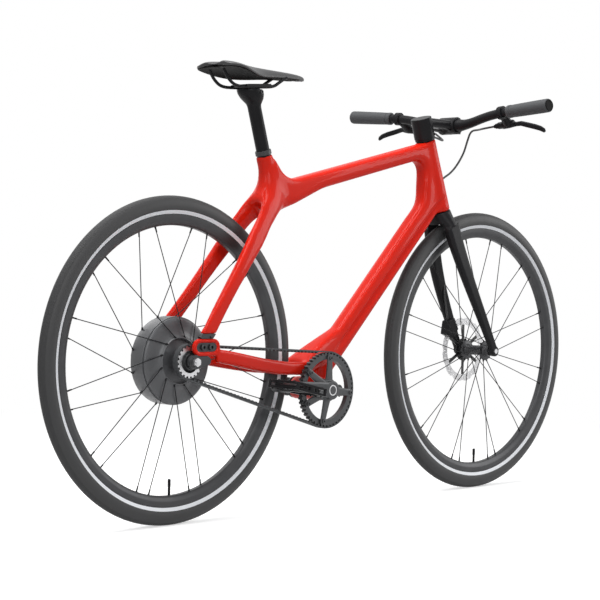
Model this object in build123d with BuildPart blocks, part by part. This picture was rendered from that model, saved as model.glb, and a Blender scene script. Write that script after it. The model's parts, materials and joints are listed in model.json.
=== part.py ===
# Electric bicycle: moulded frame, rear hub motor, toothed belt drive, disc brakes.
# Millimetres. +X points forward, +Y to the rider's left, +Z up, with the drive on the right.
# The origin is the rider's seat point on top of the saddle.
import os
from math import asin, atan2, cos, degrees, pi, radians, sin, sqrt, tan

from build123d import *

os.makedirs("parts", exist_ok=True)

# Driving dimensions of the bicycle as a whole
RIM_RADIUS = 304.0           # outer edge of the rim, where the tyre seats
TYRE_HEIGHT = 39.0
WHEELBASE = 1018.0
BB_DROP = 73.0               # crank axis below the wheel axles
BB_REACH = 77.0              # least distance from the rear tyre to the crank axis
HEAD_ANGLE = 71.5            # degrees from the ground
FORK_OFFSET = 41.0           # front axle ahead of the steering axis
SEAT_ANGLE = 72.8
POST_SHOWN = 112.0           # seatpost between the collar and the saddle's cradle
RUN = 0.3                    # running gap between pieces that move past each other
SEAT = 0.1                   # gap of a seated fit

# Belt drive
BELT_PITCH = 11.0
RING_TEETH = 48
COG_TEETH = 20
BELT_LINE = 52.0             # belt's middle, right of the centre plane
BELT_WIDTH = 12.0
BELT_BACK = 2.2              # belt outside its pitch line
BELT_LAND = 1.0              # belt inside its pitch line, between teeth
BELT_TOOTH = 3.2             # depth of a belt tooth below the land
TOOTH_SHARE = 0.5            # width of a belt tooth at its root, as a share of the pitch
TOOTH_SLOPE = 0.9            # how far each flank of a tooth leans in
GROOVE_ROOM = 0.3            # groove of ring or cog, deeper and wider than the belt tooth by this
RING_BAND = 15.0             # radial width of the ring's rim
COG_WALL = 6.0               # room between the hub's neck and the cog's bore

# Wheels
TYRE_WIDTH = 32.0
RIM_DEPTH = 23.0
RIM_WIDTH = 24.0
RIM_NOSE = 12.0              # rim's width at its inner edge
RIM_SIDE = 11.0              # straight side of the rim below its edge
SPOKE_PAIRS = 12
SPOKE = 2.0
SPOKE_SEAT = 0.9             # spoke's end from rim and hub
SPOKE_SPREAD = 4.0           # degrees between a pair's ends at the rim, each way
SPOKE_LEAN = 26.0            # degrees that a spoke trails from rim to hub
VALVE = 6.0
VALVE_LENGTH = 38.0
FRONT_SPACING = 100.0        # between the fork tips
REAR_SPACING = 130.0         # between the dropouts
AXLE = 12.0
FRONT_FLANGE = 24.0
FRONT_FLANGE_Y = 29.0
FRONT_BARREL = 12.0
FRONT_DISC = 80.0
REAR_DISC = 70.0
DISC_THICK = 1.8
DISC_BAND = 17.0
DISC_BORE = 20.0
DISC_ARMS = 6
DISC_ARM = 8.0
DISC_WAVES = 12
DISC_WAVE = 3.0              # depth of each scallop in the disc's edge
DISC_HOLES = 24
DISC_HOLE = 4.2
DISC_GAP = 1.2               # brake pad from the disc
DISC_ROOM = 11.0             # caliper's inner side from the disc
CALIPER = 22.6
FRONT_DISC_Y = 41.0
REAR_DISC_Y = 47.0
MOTOR_RADIUS = 92.0
MOTOR_LEFT = 24.0
MOTOR_RIGHT = 20.0
MOTOR_LIP = 50.0             # ring on the motor's right face that holds the right spokes
MOTOR_LIP_Y = 28.0
COG_SEAT = 17.0              # hub neck that carries the sprocket

# Frame
HEAD_CLEAR = -2.0            # head tube's foot above the top of the tyres
HEAD_HEIGHT = 169.0
HEAD_TOP_RADIUS = 24.0
HEAD_LOW_RADIUS = 28.0
HEAD_BORE = 19.0
CROWN_ROOM = 8.0
LUG_BACK = 84.4              # seat lug's top behind the front of the rear tyre
LUG_CLEAR = 99.0             # seat lug's top above the top of the tyre
SEATPOST = 30.9
LUG_WALL = 3.2
POST_IN = 95.0
TOP_TUBE_HEAD = 21.0         # top tube's middle below the top of the head tube
TOP_TUBE_SEAT = 84.0         # and below the top of the seat lug
TOP_TUBE_DEPTH = 36.0
TOP_TUBE_BEND = 152.5975     # its sweep into the seat stays, ahead of its seat end
DOWN_TUBE_HEAD = 41.0        # down tube's middle above the foot of the head tube
DOWN_TUBE_AIM = 12.0         # and behind the crank axis
DOWN_TUBE_DEPTH = 54.0
TUBE_WIDTH = 42.0
TUBE_ROUND = 12.0            # rounding of the tubes' edges
BB_SHELL = 26.0
BB_WIDTH = 86.0
BB_BORE = 20.5
YOKE_REACH = 42.0            # yoke behind the crank axis, where the chain stays join
YOKE_RISE = 48.0             # and above it
DROPOUT = 10.0               # thickness of dropout and lug
LUG_REAR = 14.0              # centre of the rear lug's round end, ahead of the axle
LUG_FRONT = 52.0
LUG_RISE = 30.0              # rear lug's middle above the axle
LUG_RADIUS = 18.0
SLOT_RADIUS = 10.0
SLOT_DEPTH = 6.0
CHAIN_DEPTH = 32.0
CHAIN_WIDTH = 18.0
STAY_CORNER = 0.36           # rounding of the seat stays, as a share of their width
BAND = 10.0                  # dark spacer between lug and right seat stay
RACK_DRILL = 4.2             # threaded holes in the seat stays
RACK_DEPTH = 9.0
RACK_HOLES = (0.37, 0.66)    # shares of the way down each stay
COLLAR = 11.0
COLLAR_WALL = 4.0

WHEEL_RADIUS = RIM_RADIUS + TYRE_HEIGHT
HEAD_BOTTOM = 2 * WHEEL_RADIUS + HEAD_CLEAR
HEAD_TOP = HEAD_BOTTOM + HEAD_HEIGHT
SEAT_LUG_X = WHEEL_RADIUS - LUG_BACK
SEAT_LUG_Z = 2 * WHEEL_RADIUS + LUG_CLEAR

# Saddle: its seat point above the seatpost's top and behind it
SADDLE_STACK = 64.0
SADDLE_BACK = 30.5
SADDLE_NOSE = 185.0          # ahead of the seat point
SADDLE_TAIL = 90.0           # behind it
PAD_THICK = 19.0
SHELL = 5.0
SHELL_INSET = 3.0
RAIL = 7.0
RAIL_OUT = 22.0
RAIL_BEND = 22.0
CRADLE_OUT = 27.0
CRADLE_REAR = 45.0
CRADLE_FRONT = 34.0
POST_TOP = SEAT_LUG_Z + COLLAR + POST_SHOWN
SADDLE_HEIGHT = POST_TOP + SADDLE_STACK
RIDER_FORWARD = SEAT_LUG_X - (POST_TOP - SEAT_LUG_Z) / tan(radians(SEAT_ANGLE)) - SADDLE_BACK

# Cranks and pedals
CUP_FLANGE = 24.0
CUP_THICK = 3.0
CUP_DEPTH = 12.0
SPINDLE = 24.0
SPINDLE_WALL = 2.5
CRANK = 172.5
CRANK_ANGLE = 5.0            # right crank points back, raised by this angle
CRANK_INNER = 64.0
CRANK_THICK = 12.0
CRANK_BOSS = 21.0
CRANK_EYE = 13.0
SPIDER_ARMS = 5
SPIDER_HUB = 26.0
SPIDER_ARM = 17.0
PEDAL_LENGTH = 96.0
PEDAL_WIDTH = 92.0
PEDAL_THICK = 18.0
PEDAL_GAP = 10.0
PEDAL_TILT = 12.0
PEDAL_AXLE = 9.0
PEDAL_BAR = 12.0             # width of the pedal's cage bars

# Fork, stem, bar and brakes
CROWN = 36.0
CROWN_HALF = 44.0
CROWN_DEPTH = 25.0
TYRE_ROOM = 9.0
STEERER = 28.6
TIP_RADIUS = 13.0
TIP_THICK = 12.0
COVER = 5.0
COLUMN = 25.0
COLUMN_HEIGHT = 50.0
STEM_REACH = 106.0
ARM_DROP = 12.0
ARM_DEPTH = 26.0
ARM_ARCH = 4.0               # how far the arm's underside is hollowed
CLAMP_WALL = 5.0
CLAMP_WIDTH = 50.0
BAR = 31.8
BAR_END = 22.2
BAR_HALF = 307.0
BAR_STRAIGHT = 177.0         # straight outer length of each side of the bar
BAR_BEND = 55.0
BULGE_HALF = 28.0            # thick middle of the bar, each way
BULGE_TAPER = 10.0
GRIP = 32.0
GRIP_LENGTH = 124.0
PLUG = 3.0
LEVER_IN = 146.0             # lever clamp from the bar's end
LEVER_CLAMP = 14.0
LEVER_WALL = 5.0
LEVER_BEND = 24.0
HOSE = 5.0
HOSE_BEND = 24.0
HOSE_ENTRY = 68.0            # hose's way into the head tube, above its foot
AXLE_NUT = 9.5
NUT_THICK = 7.0


# Side-view places are measured forward of the rear axle and up from the ground
def place(x, y, z):
    return Vector(x - RIDER_FORWARD, y, z - SADDLE_HEIGHT)


def side(x, z):
    return (x - RIDER_FORWARD, z - SADDLE_HEIGHT)


def steer_x(z):
    return WHEELBASE - FORK_OFFSET / sin(radians(HEAD_ANGLE)) - (z - WHEEL_RADIUS) / tan(radians(HEAD_ANGLE))


def seat_x(z):
    return SEAT_LUG_X - (z - SEAT_LUG_Z) / tan(radians(SEAT_ANGLE))


def keep(piece, name):
    piece.part.label = name
    export_step(piece.part, f"parts/{name}.step")


def section(centre, direction, width, depth, corner):
    with BuildSketch(Plane(origin=centre, x_dir=(0, 1, 0), z_dir=direction)) as outline:
        RectangleRounded(width, depth, corner)
    return outline.sketch


def disc_sketch(centre, radius):
    with BuildSketch(Plane(origin=centre, z_dir=(0, 1, 0))) as outline:
        Circle(radius)
    return outline.sketch


ring_pitch = RING_TEETH * BELT_PITCH / (2 * pi)
cog_pitch = COG_TEETH * BELT_PITCH / (2 * pi)

# Whole teeth on the belt set how far the crank axis lies from the rear axle
centre_distance = WHEEL_RADIUS + BB_REACH
wrap = asin((ring_pitch - cog_pitch) / centre_distance)
arcs = pi * (ring_pitch + cog_pitch) + 2 * wrap * (ring_pitch - cog_pitch)
BELT_TEETH = round((2 * centre_distance * cos(wrap) + arcs) / BELT_PITCH)
for _ in range(40):
    wrap = asin((ring_pitch - cog_pitch) / centre_distance)
    straight = BELT_TEETH * BELT_PITCH - pi * (ring_pitch + cog_pitch) - 2 * wrap * (ring_pitch - cog_pitch)
    centre_distance = straight / (2 * cos(wrap))
bb_x = sqrt(centre_distance**2 - BB_DROP**2)
bb_z = WHEEL_RADIUS - BB_DROP

rear_axle = place(0, 0, WHEEL_RADIUS)
front_axle = place(WHEELBASE, 0, WHEEL_RADIUS)
crank_axis = place(bb_x, 0, bb_z)
steer_up = Vector(-cos(radians(HEAD_ANGLE)), 0, sin(radians(HEAD_ANGLE)))
seat_up = Vector(-cos(radians(SEAT_ANGLE)), 0, sin(radians(SEAT_ANGLE)))
head_low = place(steer_x(HEAD_BOTTOM), 0, HEAD_BOTTOM)
head_high = place(steer_x(HEAD_TOP), 0, HEAD_TOP)
lug_top = place(SEAT_LUG_X, 0, SEAT_LUG_Z)
post_radius = SEATPOST / 2
lug_radius = post_radius + LUG_WALL

# Seat stays: a straight line from a root under the seat lug to a foot above the rear lug
LUG_Z = WHEEL_RADIUS + LUG_RISE
drop_inner = REAR_SPACING / 2
drop_outer = drop_inner + DROPOUT
stay_root = (SEAT_LUG_X - 6.0, SEAT_LUG_Z - 117.0)
stay_foot_at = (43.0, LUG_Z + 35.0)
stay_way = Vector(stay_root[0] - stay_foot_at[0], 0, stay_root[1] - stay_foot_at[1])
# Share of the way down, half the gap, depth, width
stay_table = [
    (0.0, 29.0, 60.0, 22.0),
    (0.25, 43.0, 42.0, 20.0),
    (0.83, 62.0, 31.0, 16.0),
    (1.0, drop_inner + DROPOUT / 2, 33.0, DROPOUT),
]


def stay_at(share, hand):
    rows = list(zip(stay_table, stay_table[1:]))
    upper, lower = next(row for row in rows if share <= row[1][0])
    part = (share - upper[0]) / (lower[0] - upper[0])
    gap = upper[1] + part * (lower[1] - upper[1])
    return place(stay_root[0] - share * stay_way.X, hand * gap, stay_root[1] - share * stay_way.Z)


# Front frame: head tube, top tube, down tube, seat lug, crank shell and yoke in one moulding
def beside(start, finish, along, out):
    way = (finish - start).normalized()
    spot = start + way * along + Vector(-way.Z, 0, way.X) * out
    return (spot.X, spot.Z)


def corner(sketch, spot, radius):
    nearest = sketch.vertices().sort_by_distance((*spot, 0))[0]
    fillet(nearest, radius)


top_rear = place(seat_x(SEAT_LUG_Z - TOP_TUBE_SEAT), 0, SEAT_LUG_Z - TOP_TUBE_SEAT)
top_front = place(steer_x(HEAD_TOP - TOP_TUBE_HEAD), 0, HEAD_TOP - TOP_TUBE_HEAD)
down_low = place(bb_x - DOWN_TUBE_AIM, 0, bb_z)
down_high = place(steer_x(HEAD_BOTTOM + DOWN_TUBE_HEAD), 0, HEAD_BOTTOM + DOWN_TUBE_HEAD)
half_top = TOP_TUBE_DEPTH / 2
half_down = DOWN_TUBE_DEPTH / 2

# Inner corners of the tubes' side view, each with its rounding
lug_corner = beside(top_rear, top_front, 43.0, half_top + 3.0)
neck_low = beside(down_high, down_low, 58.0, -half_down)
neck_high = beside(top_front, top_rear, 25.0, half_top)
seat_bend = beside(top_rear, top_front, TOP_TUBE_BEND, -half_top)
root_across = Vector(stay_way.Z, 0, -stay_way.X).normalized()
root_low = stay_at(0, 0) + root_across * (stay_table[0][2] / 2 - 2)
root_high = stay_at(0, 0) - root_across * 20
corner_table = [(lug_corner, 58.0), (neck_low, 52.0), (neck_high, 28.0), (seat_bend, 200.0)]

with BuildPart() as tubes:
    with BuildSketch(Plane.XZ) as side_view:
        with BuildLine():
            Polyline(
                side(SEAT_LUG_X + 20, SEAT_LUG_Z - 4),
                lug_corner,
                beside(top_front, top_rear, 0, -half_top),
                side(steer_x(HEAD_BOTTOM + 14), HEAD_BOTTOM + 14),
                beside(down_high, down_low, 24, half_down),
                beside(down_low, down_high, 58, -half_down),
                side(bb_x + 6, bb_z - 8),
                side(bb_x - 12, bb_z + 16),
                beside(down_low, down_high, 92, half_down),
                neck_low,
                neck_high,
                seat_bend,
                (root_low.X, root_low.Z),
                (root_high.X, root_high.Z),
                side(SEAT_LUG_X - 4, SEAT_LUG_Z - 60),
                close=True,
            )
        make_face()
        for spot, radius in corner_table:
            corner(side_view, spot, radius)
    extrude(amount=TUBE_WIDTH / 2, both=True)
    fillet(tubes.faces().filter_by(Axis.Y).edges(), TUBE_ROUND)

with BuildPart() as main_frame:
    add(tubes.part)
    with BuildSketch(Plane(origin=head_low, z_dir=steer_up)):
        Circle(HEAD_LOW_RADIUS)
    with BuildSketch(Plane(origin=head_high, z_dir=steer_up)):
        Circle(HEAD_TOP_RADIUS)
    loft()
    # Seat lug, from the round collar to the two stays
    lug_round = 2 * lug_radius
    loft([
        section(lug_top, seat_up, lug_round, lug_round, lug_radius - 0.2),
        section(lug_top - seat_up * 44, seat_up, lug_round + 2, lug_round + 6, lug_radius - 1),
        section(lug_top + Vector(15, 0, -84), Vector(0.2, 0, 1), 60, 64, 22),
        section(stay_at(0, 0), stay_way, 2 * stay_table[0][1] + stay_table[0][3], stay_table[0][2], 9),
    ])
    # Crank shell, and the yoke that spreads to the chain stays
    extrude(disc_sketch(crank_axis - Vector(0, BB_WIDTH / 2, 0), BB_SHELL), amount=BB_WIDTH)
    yoke_way = down_high - down_low
    loft([
        section(down_low + yoke_way * 0.26, yoke_way, TUBE_WIDTH - 2, DOWN_TUBE_DEPTH - 2, 11),
        section(place(bb_x + 22, 0, bb_z + 78), Vector(0.84, 0, 0.54), 54, 48, 11),
        section(place(bb_x - YOKE_REACH, 0, bb_z + YOKE_RISE), Vector(1, 0, 0), BB_WIDTH, CHAIN_DEPTH, 7),
    ])
    # Room for the fork crown under the head tube, and for the rear tyre
    with BuildSketch(Plane(origin=head_low, z_dir=-steer_up)):
        Circle(HEAD_LOW_RADIUS + CROWN_ROOM)
    extrude(amount=CROWN_ROOM * 4, mode=Mode.SUBTRACT)
    # Bores for the steerer, the seatpost and the crank bearings
    with BuildSketch(Plane(origin=head_low - steer_up * 5, z_dir=steer_up)):
        Circle(HEAD_BORE)
    extrude(amount=(head_high - head_low).length + 10, mode=Mode.SUBTRACT)
    with BuildSketch(Plane(origin=lug_top + seat_up, z_dir=-seat_up)):
        Circle(post_radius + SEAT)
    extrude(amount=POST_IN + 15, mode=Mode.SUBTRACT)
    shell_end = crank_axis - Vector(0, BB_WIDTH / 2, 0)
    extrude(disc_sketch(shell_end, BB_BORE), amount=BB_WIDTH, mode=Mode.SUBTRACT)
keep(main_frame, "main_frame")


# Rear lugs with their slots, chain stays, seat stays, dropouts and the band where the frame parts
# Chain stays: share of the way from lug to yoke, rise, half the gap, depth, width
chain_table = [
    (0.0, 0.0, drop_inner + DROPOUT / 2, 28.0, DROPOUT),
    (0.34, -4.0, 53.0, 31.0, CHAIN_WIDTH),
    (0.7, -7.0, 37.0, 31.0, CHAIN_WIDTH),
    (1.0, 0.0, BB_WIDTH / 2 - CHAIN_WIDTH / 2, CHAIN_DEPTH, CHAIN_WIDTH),
]
lug_end = place(LUG_FRONT + 10, 0, LUG_Z - LUG_RADIUS)
yoke_end = place(bb_x - YOKE_REACH, 0, bb_z + YOKE_RISE)
chain_way = Vector(1, 0, 0)
band_top = LUG_Z + LUG_RADIUS + BAND - SEAT


def slot_outline(radius):
    with BuildSketch(Plane.XZ) as outline:
        with Locations(side(LUG_REAR, LUG_Z)):
            Circle(radius)
        with Locations(side(LUG_FRONT, LUG_Z)):
            Circle(radius)
        make_hull()
    return outline.sketch


def across(sketch, start, end):
    placed = sketch.moved(Location((0, min(start, end), 0)))
    return extrude(placed, amount=abs(end - start), dir=(0, 1, 0), mode=Mode.PRIVATE)


def stay_body(hand):
    foot_depth, foot_width = stay_table[-1][2:]
    foot = section(stay_at(1.0, hand), stay_way, foot_width, foot_depth, foot_width * STAY_CORNER)
    with BuildPart() as body:
        loft([
            section(stay_at(share, hand), stay_way, width, depth, width * STAY_CORNER)
            for share, gap, depth, width in stay_table
        ])
        extrude(foot, amount=-3 * BAND)
        add(across(slot_outline(LUG_RADIUS + SEAT), 0, hand * 2 * drop_outer), mode=Mode.SUBTRACT)
    return body.part


for name, hand in (("left", 1), ("right", -1)):
    with BuildPart() as seat_stay:
        add(stay_body(hand))
        if hand < 0:
            split(bisect_by=Plane.XY.offset(band_top - SADDLE_HEIGHT), keep=Keep.TOP)
        for share in RACK_HOLES:
            with BuildSketch(Plane(origin=stay_at(share, hand), z_dir=(0, -hand, 0))):
                Circle(RACK_DRILL / 2)
            extrude(amount=2 * RACK_DEPTH, mode=Mode.SUBTRACT)
    keep(seat_stay, f"seat_stay_{name}")

    with BuildPart() as chain_stay:
        loft([
            section(
                lug_end + (yoke_end - lug_end) * share + Vector(0, hand * out, rise),
                chain_way, width, depth, DROPOUT * 0.45,
            )
            for share, rise, out, depth, width in chain_table
        ])
        add(across(slot_outline(LUG_RADIUS), hand * drop_inner, hand * drop_outer))
        add(across(slot_outline(SLOT_RADIUS), hand * (drop_outer - SLOT_DEPTH), hand * (drop_outer + 1)),
            mode=Mode.SUBTRACT)
    keep(chain_stay, f"chain_stay_{name}")

    with BuildPart() as dropout:
        with BuildSketch(Plane.XZ.offset(-hand * drop_inner)):
            with Locations(side(0, WHEEL_RADIUS)):
                Circle(15)
            with Locations(side(34, WHEEL_RADIUS + 2)):
                Circle(9)
            make_hull()
            with Locations(side(0, WHEEL_RADIUS)):
                Circle(AXLE / 2 + SEAT, mode=Mode.SUBTRACT)
        extrude(amount=-hand * DROPOUT)
        add(across(slot_outline(LUG_RADIUS + RUN), hand * (drop_inner - 1), hand * (drop_outer + 1)),
            mode=Mode.SUBTRACT)
        insert = slot_outline(SLOT_RADIUS - SEAT)
        add(across(insert, hand * (drop_outer - SLOT_DEPTH), hand * (drop_outer - SLOT_DEPTH / 2)))
    keep(dropout, f"dropout_{name}")

with BuildPart() as band:
    add(stay_body(-1))
    split(bisect_by=Plane.XY.offset(band_top - SADDLE_HEIGHT), keep=Keep.BOTTOM)
keep(band, "belt_split_band")


# Seat collar, seatpost with its cradle, clamp plate, rails and saddle
# Rail, from tail to nose: ahead of the seat point, up from it
rail_route = [(-76.0, -26.0), (-38.0, -47.0), (72.0, -39.0), (110.0, -25.0)]
rail_mid = (rail_route[1][1] + rail_route[2][1]) / 2
pad_under = -PAD_THICK
post_head = place(seat_x(POST_TOP), 0, POST_TOP)
cradle_rear = (post_head.X - CRADLE_REAR, rail_mid - 4)
cradle_front = (post_head.X + CRADLE_FRONT, rail_mid + 2)

with BuildPart() as collar:
    with BuildSketch(Plane(origin=lug_top + seat_up * SEAT, z_dir=seat_up)):
        Circle(post_radius + COLLAR_WALL)
        Circle(post_radius + SEAT, mode=Mode.SUBTRACT)
    extrude(amount=COLLAR)
keep(collar, "seat_collar")


def bent_tube(points, bend, radius):
    with BuildPart() as tube:
        with BuildLine() as path:
            FilletPolyline(*points, radius=bend)
        with BuildSketch(Plane(origin=path.line @ 0, z_dir=path.line % 0)):
            Circle(radius)
        sweep(path=path.line)
    return tube.part


def rail_tube(hand, radius):
    return bent_tube([Vector(x, hand * RAIL_OUT, z) for x, z in rail_route], RAIL_BEND, radius)


with BuildPart() as seatpost:
    with BuildSketch(Plane(origin=lug_top - seat_up * POST_IN, z_dir=seat_up)):
        Circle(post_radius)
    extrude(amount=POST_IN + (post_head - lug_top).length)
    with BuildSketch(Plane.XZ.offset(-CRADLE_OUT)):
        with BuildLine():
            ThreePointArc(cradle_rear, (post_head.X - 3, post_head.Z - 7), cradle_front)
            Line(cradle_front, cradle_rear)
        make_face()
    extrude(amount=2 * CRADLE_OUT)
    for hand in (1, -1):
        add(rail_tube(hand, RAIL / 2 + SEAT), mode=Mode.SUBTRACT)
keep(seatpost, "seatpost")

with BuildPart() as clamp_plate:
    with BuildSketch(Plane.XZ.offset(-CRADLE_OUT)):
        with BuildLine():
            Polyline(
                (cradle_rear[0], cradle_rear[1] + RUN),
                (cradle_front[0], cradle_front[1] + RUN),
                (cradle_front[0] - 4, cradle_front[1] + RAIL),
                (cradle_rear[0] + 7, cradle_rear[1] + RAIL),
                close=True,
            )
        make_face()
    extrude(amount=2 * CRADLE_OUT)
    for hand in (1, -1):
        add(rail_tube(hand, RAIL / 2 + SEAT), mode=Mode.SUBTRACT)
keep(clamp_plate, "saddle_clamp")

with BuildPart() as rails:
    for hand in (1, -1):
        add(rail_tube(hand, RAIL / 2))
keep(rails, "saddle_rails")

# Saddle plan: ahead of the seat point, half width
saddle_plan = [
    (SADDLE_NOSE, 12.0), (SADDLE_NOSE - 25, 19.0), (SADDLE_NOSE - 110, 26.0), (SADDLE_NOSE - 200, 58.0),
    (42 - SADDLE_TAIL, 69.0), (12 - SADDLE_TAIL, 66.0), (-SADDLE_TAIL, 48.0), (16 - SADDLE_TAIL, 16.0),
]


def saddle_outline(inset, height):
    left = [(x, half - inset) for x, half in saddle_plan]
    with BuildSketch(Plane.XY.offset(height)) as outline:
        with BuildLine():
            Polyline(*left, *[(x, -y) for x, y in reversed(left)], close=True)
        make_face()
    return outline.sketch


with BuildPart() as pad:
    extrude(saddle_outline(0, pad_under), amount=2 * PAD_THICK)
    # Side view: raised tail, level middle, dipping nose
    with BuildSketch(Plane.XZ.offset(-100)):
        with BuildLine():
            Polyline(
                (-SADDLE_TAIL - 5, pad_under),
                (-SADDLE_TAIL - 5, 0),
                (-SADDLE_TAIL + 40, 5),
                (0, 0),
                (SADDLE_NOSE - 60, -2),
                (SADDLE_NOSE, -9),
                (SADDLE_NOSE + 5, pad_under),
                close=True,
            )
        make_face()
    extrude(amount=200, mode=Mode.INTERSECT)
keep(pad, "saddle_pad")

with BuildPart() as shell:
    extrude(saddle_outline(SHELL_INSET, pad_under - RUN), amount=-SHELL)
    for hand in (1, -1):
        add(rail_tube(hand, RAIL / 2 + SEAT), mode=Mode.SUBTRACT)
keep(shell, "saddle_shell")

# Crank bearings, motor axle, rear brake
with BuildPart() as cups:
    for hand in (1, -1):
        face = crank_axis + Vector(0, hand * BB_WIDTH / 2, 0)
        with BuildSketch(Plane(origin=face, z_dir=(0, hand, 0))):
            Circle(CUP_FLANGE)
            Circle(SPINDLE / 2 + RUN, mode=Mode.SUBTRACT)
        extrude(amount=CUP_THICK)
        with BuildSketch(Plane(origin=face, z_dir=(0, -hand, 0))):
            Circle(BB_BORE - SEAT)
            Circle(SPINDLE / 2 + RUN, mode=Mode.SUBTRACT)
        extrude(amount=CUP_DEPTH)
keep(cups, "crank_bearings")

with BuildPart() as motor_axle:
    extrude(disc_sketch(rear_axle - Vector(0, drop_outer + NUT_THICK + 3, 0), AXLE / 2),
            amount=2 * (drop_outer + NUT_THICK + 3))
    for hand in (1, -1):
        with BuildSketch(Plane(origin=rear_axle + Vector(0, hand * drop_outer, 0), z_dir=(0, hand, 0))):
            RegularPolygon(AXLE_NUT, 6)
        extrude(amount=NUT_THICK)
keep(motor_axle, "motor_axle")


def spin(centre, profile):
    # Turn a table of (distance along the axle, radius) about the axle
    with BuildPart() as turned:
        with BuildSketch(Plane(origin=centre, x_dir=(0, 1, 0), z_dir=(1, 0, 0))):
            with BuildLine():
                Polyline(*profile, close=True)
            make_face()
        revolve(axis=Axis(centre, (0, 1, 0)))
    return turned


def disc(centre, radius, inner_face):
    track = radius - DISC_BAND
    with BuildPart() as rotor:
        with BuildSketch(Plane(origin=centre + Vector(0, inner_face, 0), z_dir=(0, 1, 0))):
            Circle(radius)
            Circle(track, mode=Mode.SUBTRACT)
            with PolarLocations(radius + 4 * DISC_WAVE, DISC_WAVES):
                Circle(5 * DISC_WAVE, mode=Mode.SUBTRACT)
            for row in (0.36, 0.7):
                with PolarLocations(track + row * (DISC_BAND - DISC_WAVE), DISC_HOLES, start_angle=row * 20):
                    Circle(DISC_HOLE / 2, mode=Mode.SUBTRACT)
            with PolarLocations((track + DISC_BORE) / 2, DISC_ARMS):
                Rectangle(track - DISC_BORE + 4, DISC_ARM)
            Circle(DISC_BORE + DISC_ARM)
            Circle(DISC_BORE + SEAT, mode=Mode.SUBTRACT)
        extrude(amount=DISC_THICK)
    return rotor


with BuildPart() as rear_caliper:
    with BuildSketch(Plane.XZ.offset(DISC_ROOM - REAR_DISC_Y)):
        with BuildLine():
            Polyline(
                side(48, LUG_Z + 19),
                side(52, LUG_Z - 7),
                side(72, LUG_Z - 15),
                side(92, LUG_Z - 11),
                side(96, LUG_Z + 1),
                side(74, LUG_Z + 25),
                close=True,
            )
        make_face()
    extrude(amount=-CALIPER)
    pad_room = across(disc_sketch(rear_axle, REAR_DISC + 4), REAR_DISC_Y - DISC_GAP,
                      REAR_DISC_Y + DISC_THICK + DISC_GAP)
    add(pad_room, mode=Mode.SUBTRACT)
keep(rear_caliper, "rear_caliper")

# Belt round ring and cog. Its teeth stand on the two free runs: round ring and cog they would sit in
# the grooves, which turn while this loop stays still.
ring_at = Vector(*side(bb_x, bb_z))
cog_at = Vector(*side(0, WHEEL_RADIUS))
ahead = (ring_at - cog_at).normalized()
above = Vector(-ahead.Y, ahead.X)
run_length = centre_distance * cos(wrap)
ring_arc = ring_pitch * (pi + 2 * wrap)
ring_land = ring_pitch - BELT_LAND
cog_land = cog_pitch - BELT_LAND
half_tooth = BELT_PITCH * TOOTH_SHARE / 2
# Belt tooth: along the belt, inwards
tooth_shape = [
    (-half_tooth, 0.0),
    (-half_tooth + TOOTH_SLOPE, BELT_TOOTH),
    (half_tooth - TOOTH_SLOPE, BELT_TOOTH),
    (half_tooth, 0.0),
]


def belt_loop(radial):
    with BuildSketch(Plane.XZ) as outline:
        with Locations(ring_at):
            Circle(ring_pitch + radial)
        with Locations(cog_at):
            Circle(cog_pitch + radial)
        make_hull()
    return outline.sketch


def run_edge(hand, lead):
    # Inner edge of the upper or lower run, from ring to cog
    out = above * (hand * cos(wrap)) - ahead * sin(wrap)
    along = ahead * -cos(wrap) - above * (hand * sin(wrap))
    start = ring_at + out * ring_land
    first = sqrt(2 * ring_land * BELT_TOOTH) + BELT_PITCH / 2
    last = run_length - sqrt(2 * cog_land * BELT_TOOTH) - BELT_PITCH / 2
    edge = [start]
    for count in range(BELT_TEETH):
        middle = lead + count * BELT_PITCH
        if first < middle < last:
            edge += [start + along * (middle + shift) - out * depth for shift, depth in tooth_shape]
    return edge + [start + along * run_length]


upper_edge = run_edge(1, BELT_PITCH / 2)
lower_edge = run_edge(-1, BELT_PITCH * (1 - (ring_arc / BELT_PITCH - 0.5) % 1))
with BuildSketch(Plane.XZ) as belt_inside:
    with BuildLine():
        Polyline(*upper_edge)
        Polyline(*lower_edge)
        ThreePointArc(upper_edge[0], ring_at + ahead * ring_land, lower_edge[0])
        ThreePointArc(upper_edge[-1], cog_at - ahead * cog_land, lower_edge[-1])
    make_face()

belt_outer = -BELT_LINE - BELT_WIDTH / 2
belt_inner = -BELT_LINE + BELT_WIDTH / 2
with BuildPart() as belt:
    add(across(belt_loop(BELT_BACK), belt_outer, belt_inner))
    add(across(belt_inside.sketch, belt_outer - 1, belt_inner + 1), mode=Mode.SUBTRACT)
keep(belt, "belt")

# Grooves of ring and cog stand where the belt's teeth pass
top_way = above * cos(wrap) - ahead * sin(wrap)
top_angle = degrees(atan2(top_way.Y, top_way.X))
ring_phase = top_angle - 180 / RING_TEETH
cog_phase = top_angle + (1 - (run_length / BELT_PITCH - 0.5) % 1) * 360 / COG_TEETH
groove_shape = [
    (1.0, -half_tooth - GROOVE_ROOM - TOOTH_SLOPE / BELT_TOOTH),
    (-BELT_TOOTH - GROOVE_ROOM, -half_tooth + TOOTH_SLOPE - GROOVE_ROOM),
    (-BELT_TOOTH - GROOVE_ROOM, half_tooth - TOOTH_SLOPE + GROOVE_ROOM),
    (1.0, half_tooth + GROOVE_ROOM + TOOTH_SLOPE / BELT_TOOTH),
]


def grooves(middle, radius, teeth, phase):
    with BuildSketch(Plane.XZ) as outline:
        with Locations(middle):
            with PolarLocations(radius, teeth, start_angle=phase):
                Polygon(*groove_shape, align=None)
    return outline.sketch


# Wheels
RIM_INNER = RIM_RADIUS - RIM_DEPTH
half_tyre = TYRE_WIDTH / 2
tyre_base = RIM_RADIUS + RUN
tyre_rise = WHEEL_RADIUS - tyre_base
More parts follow.
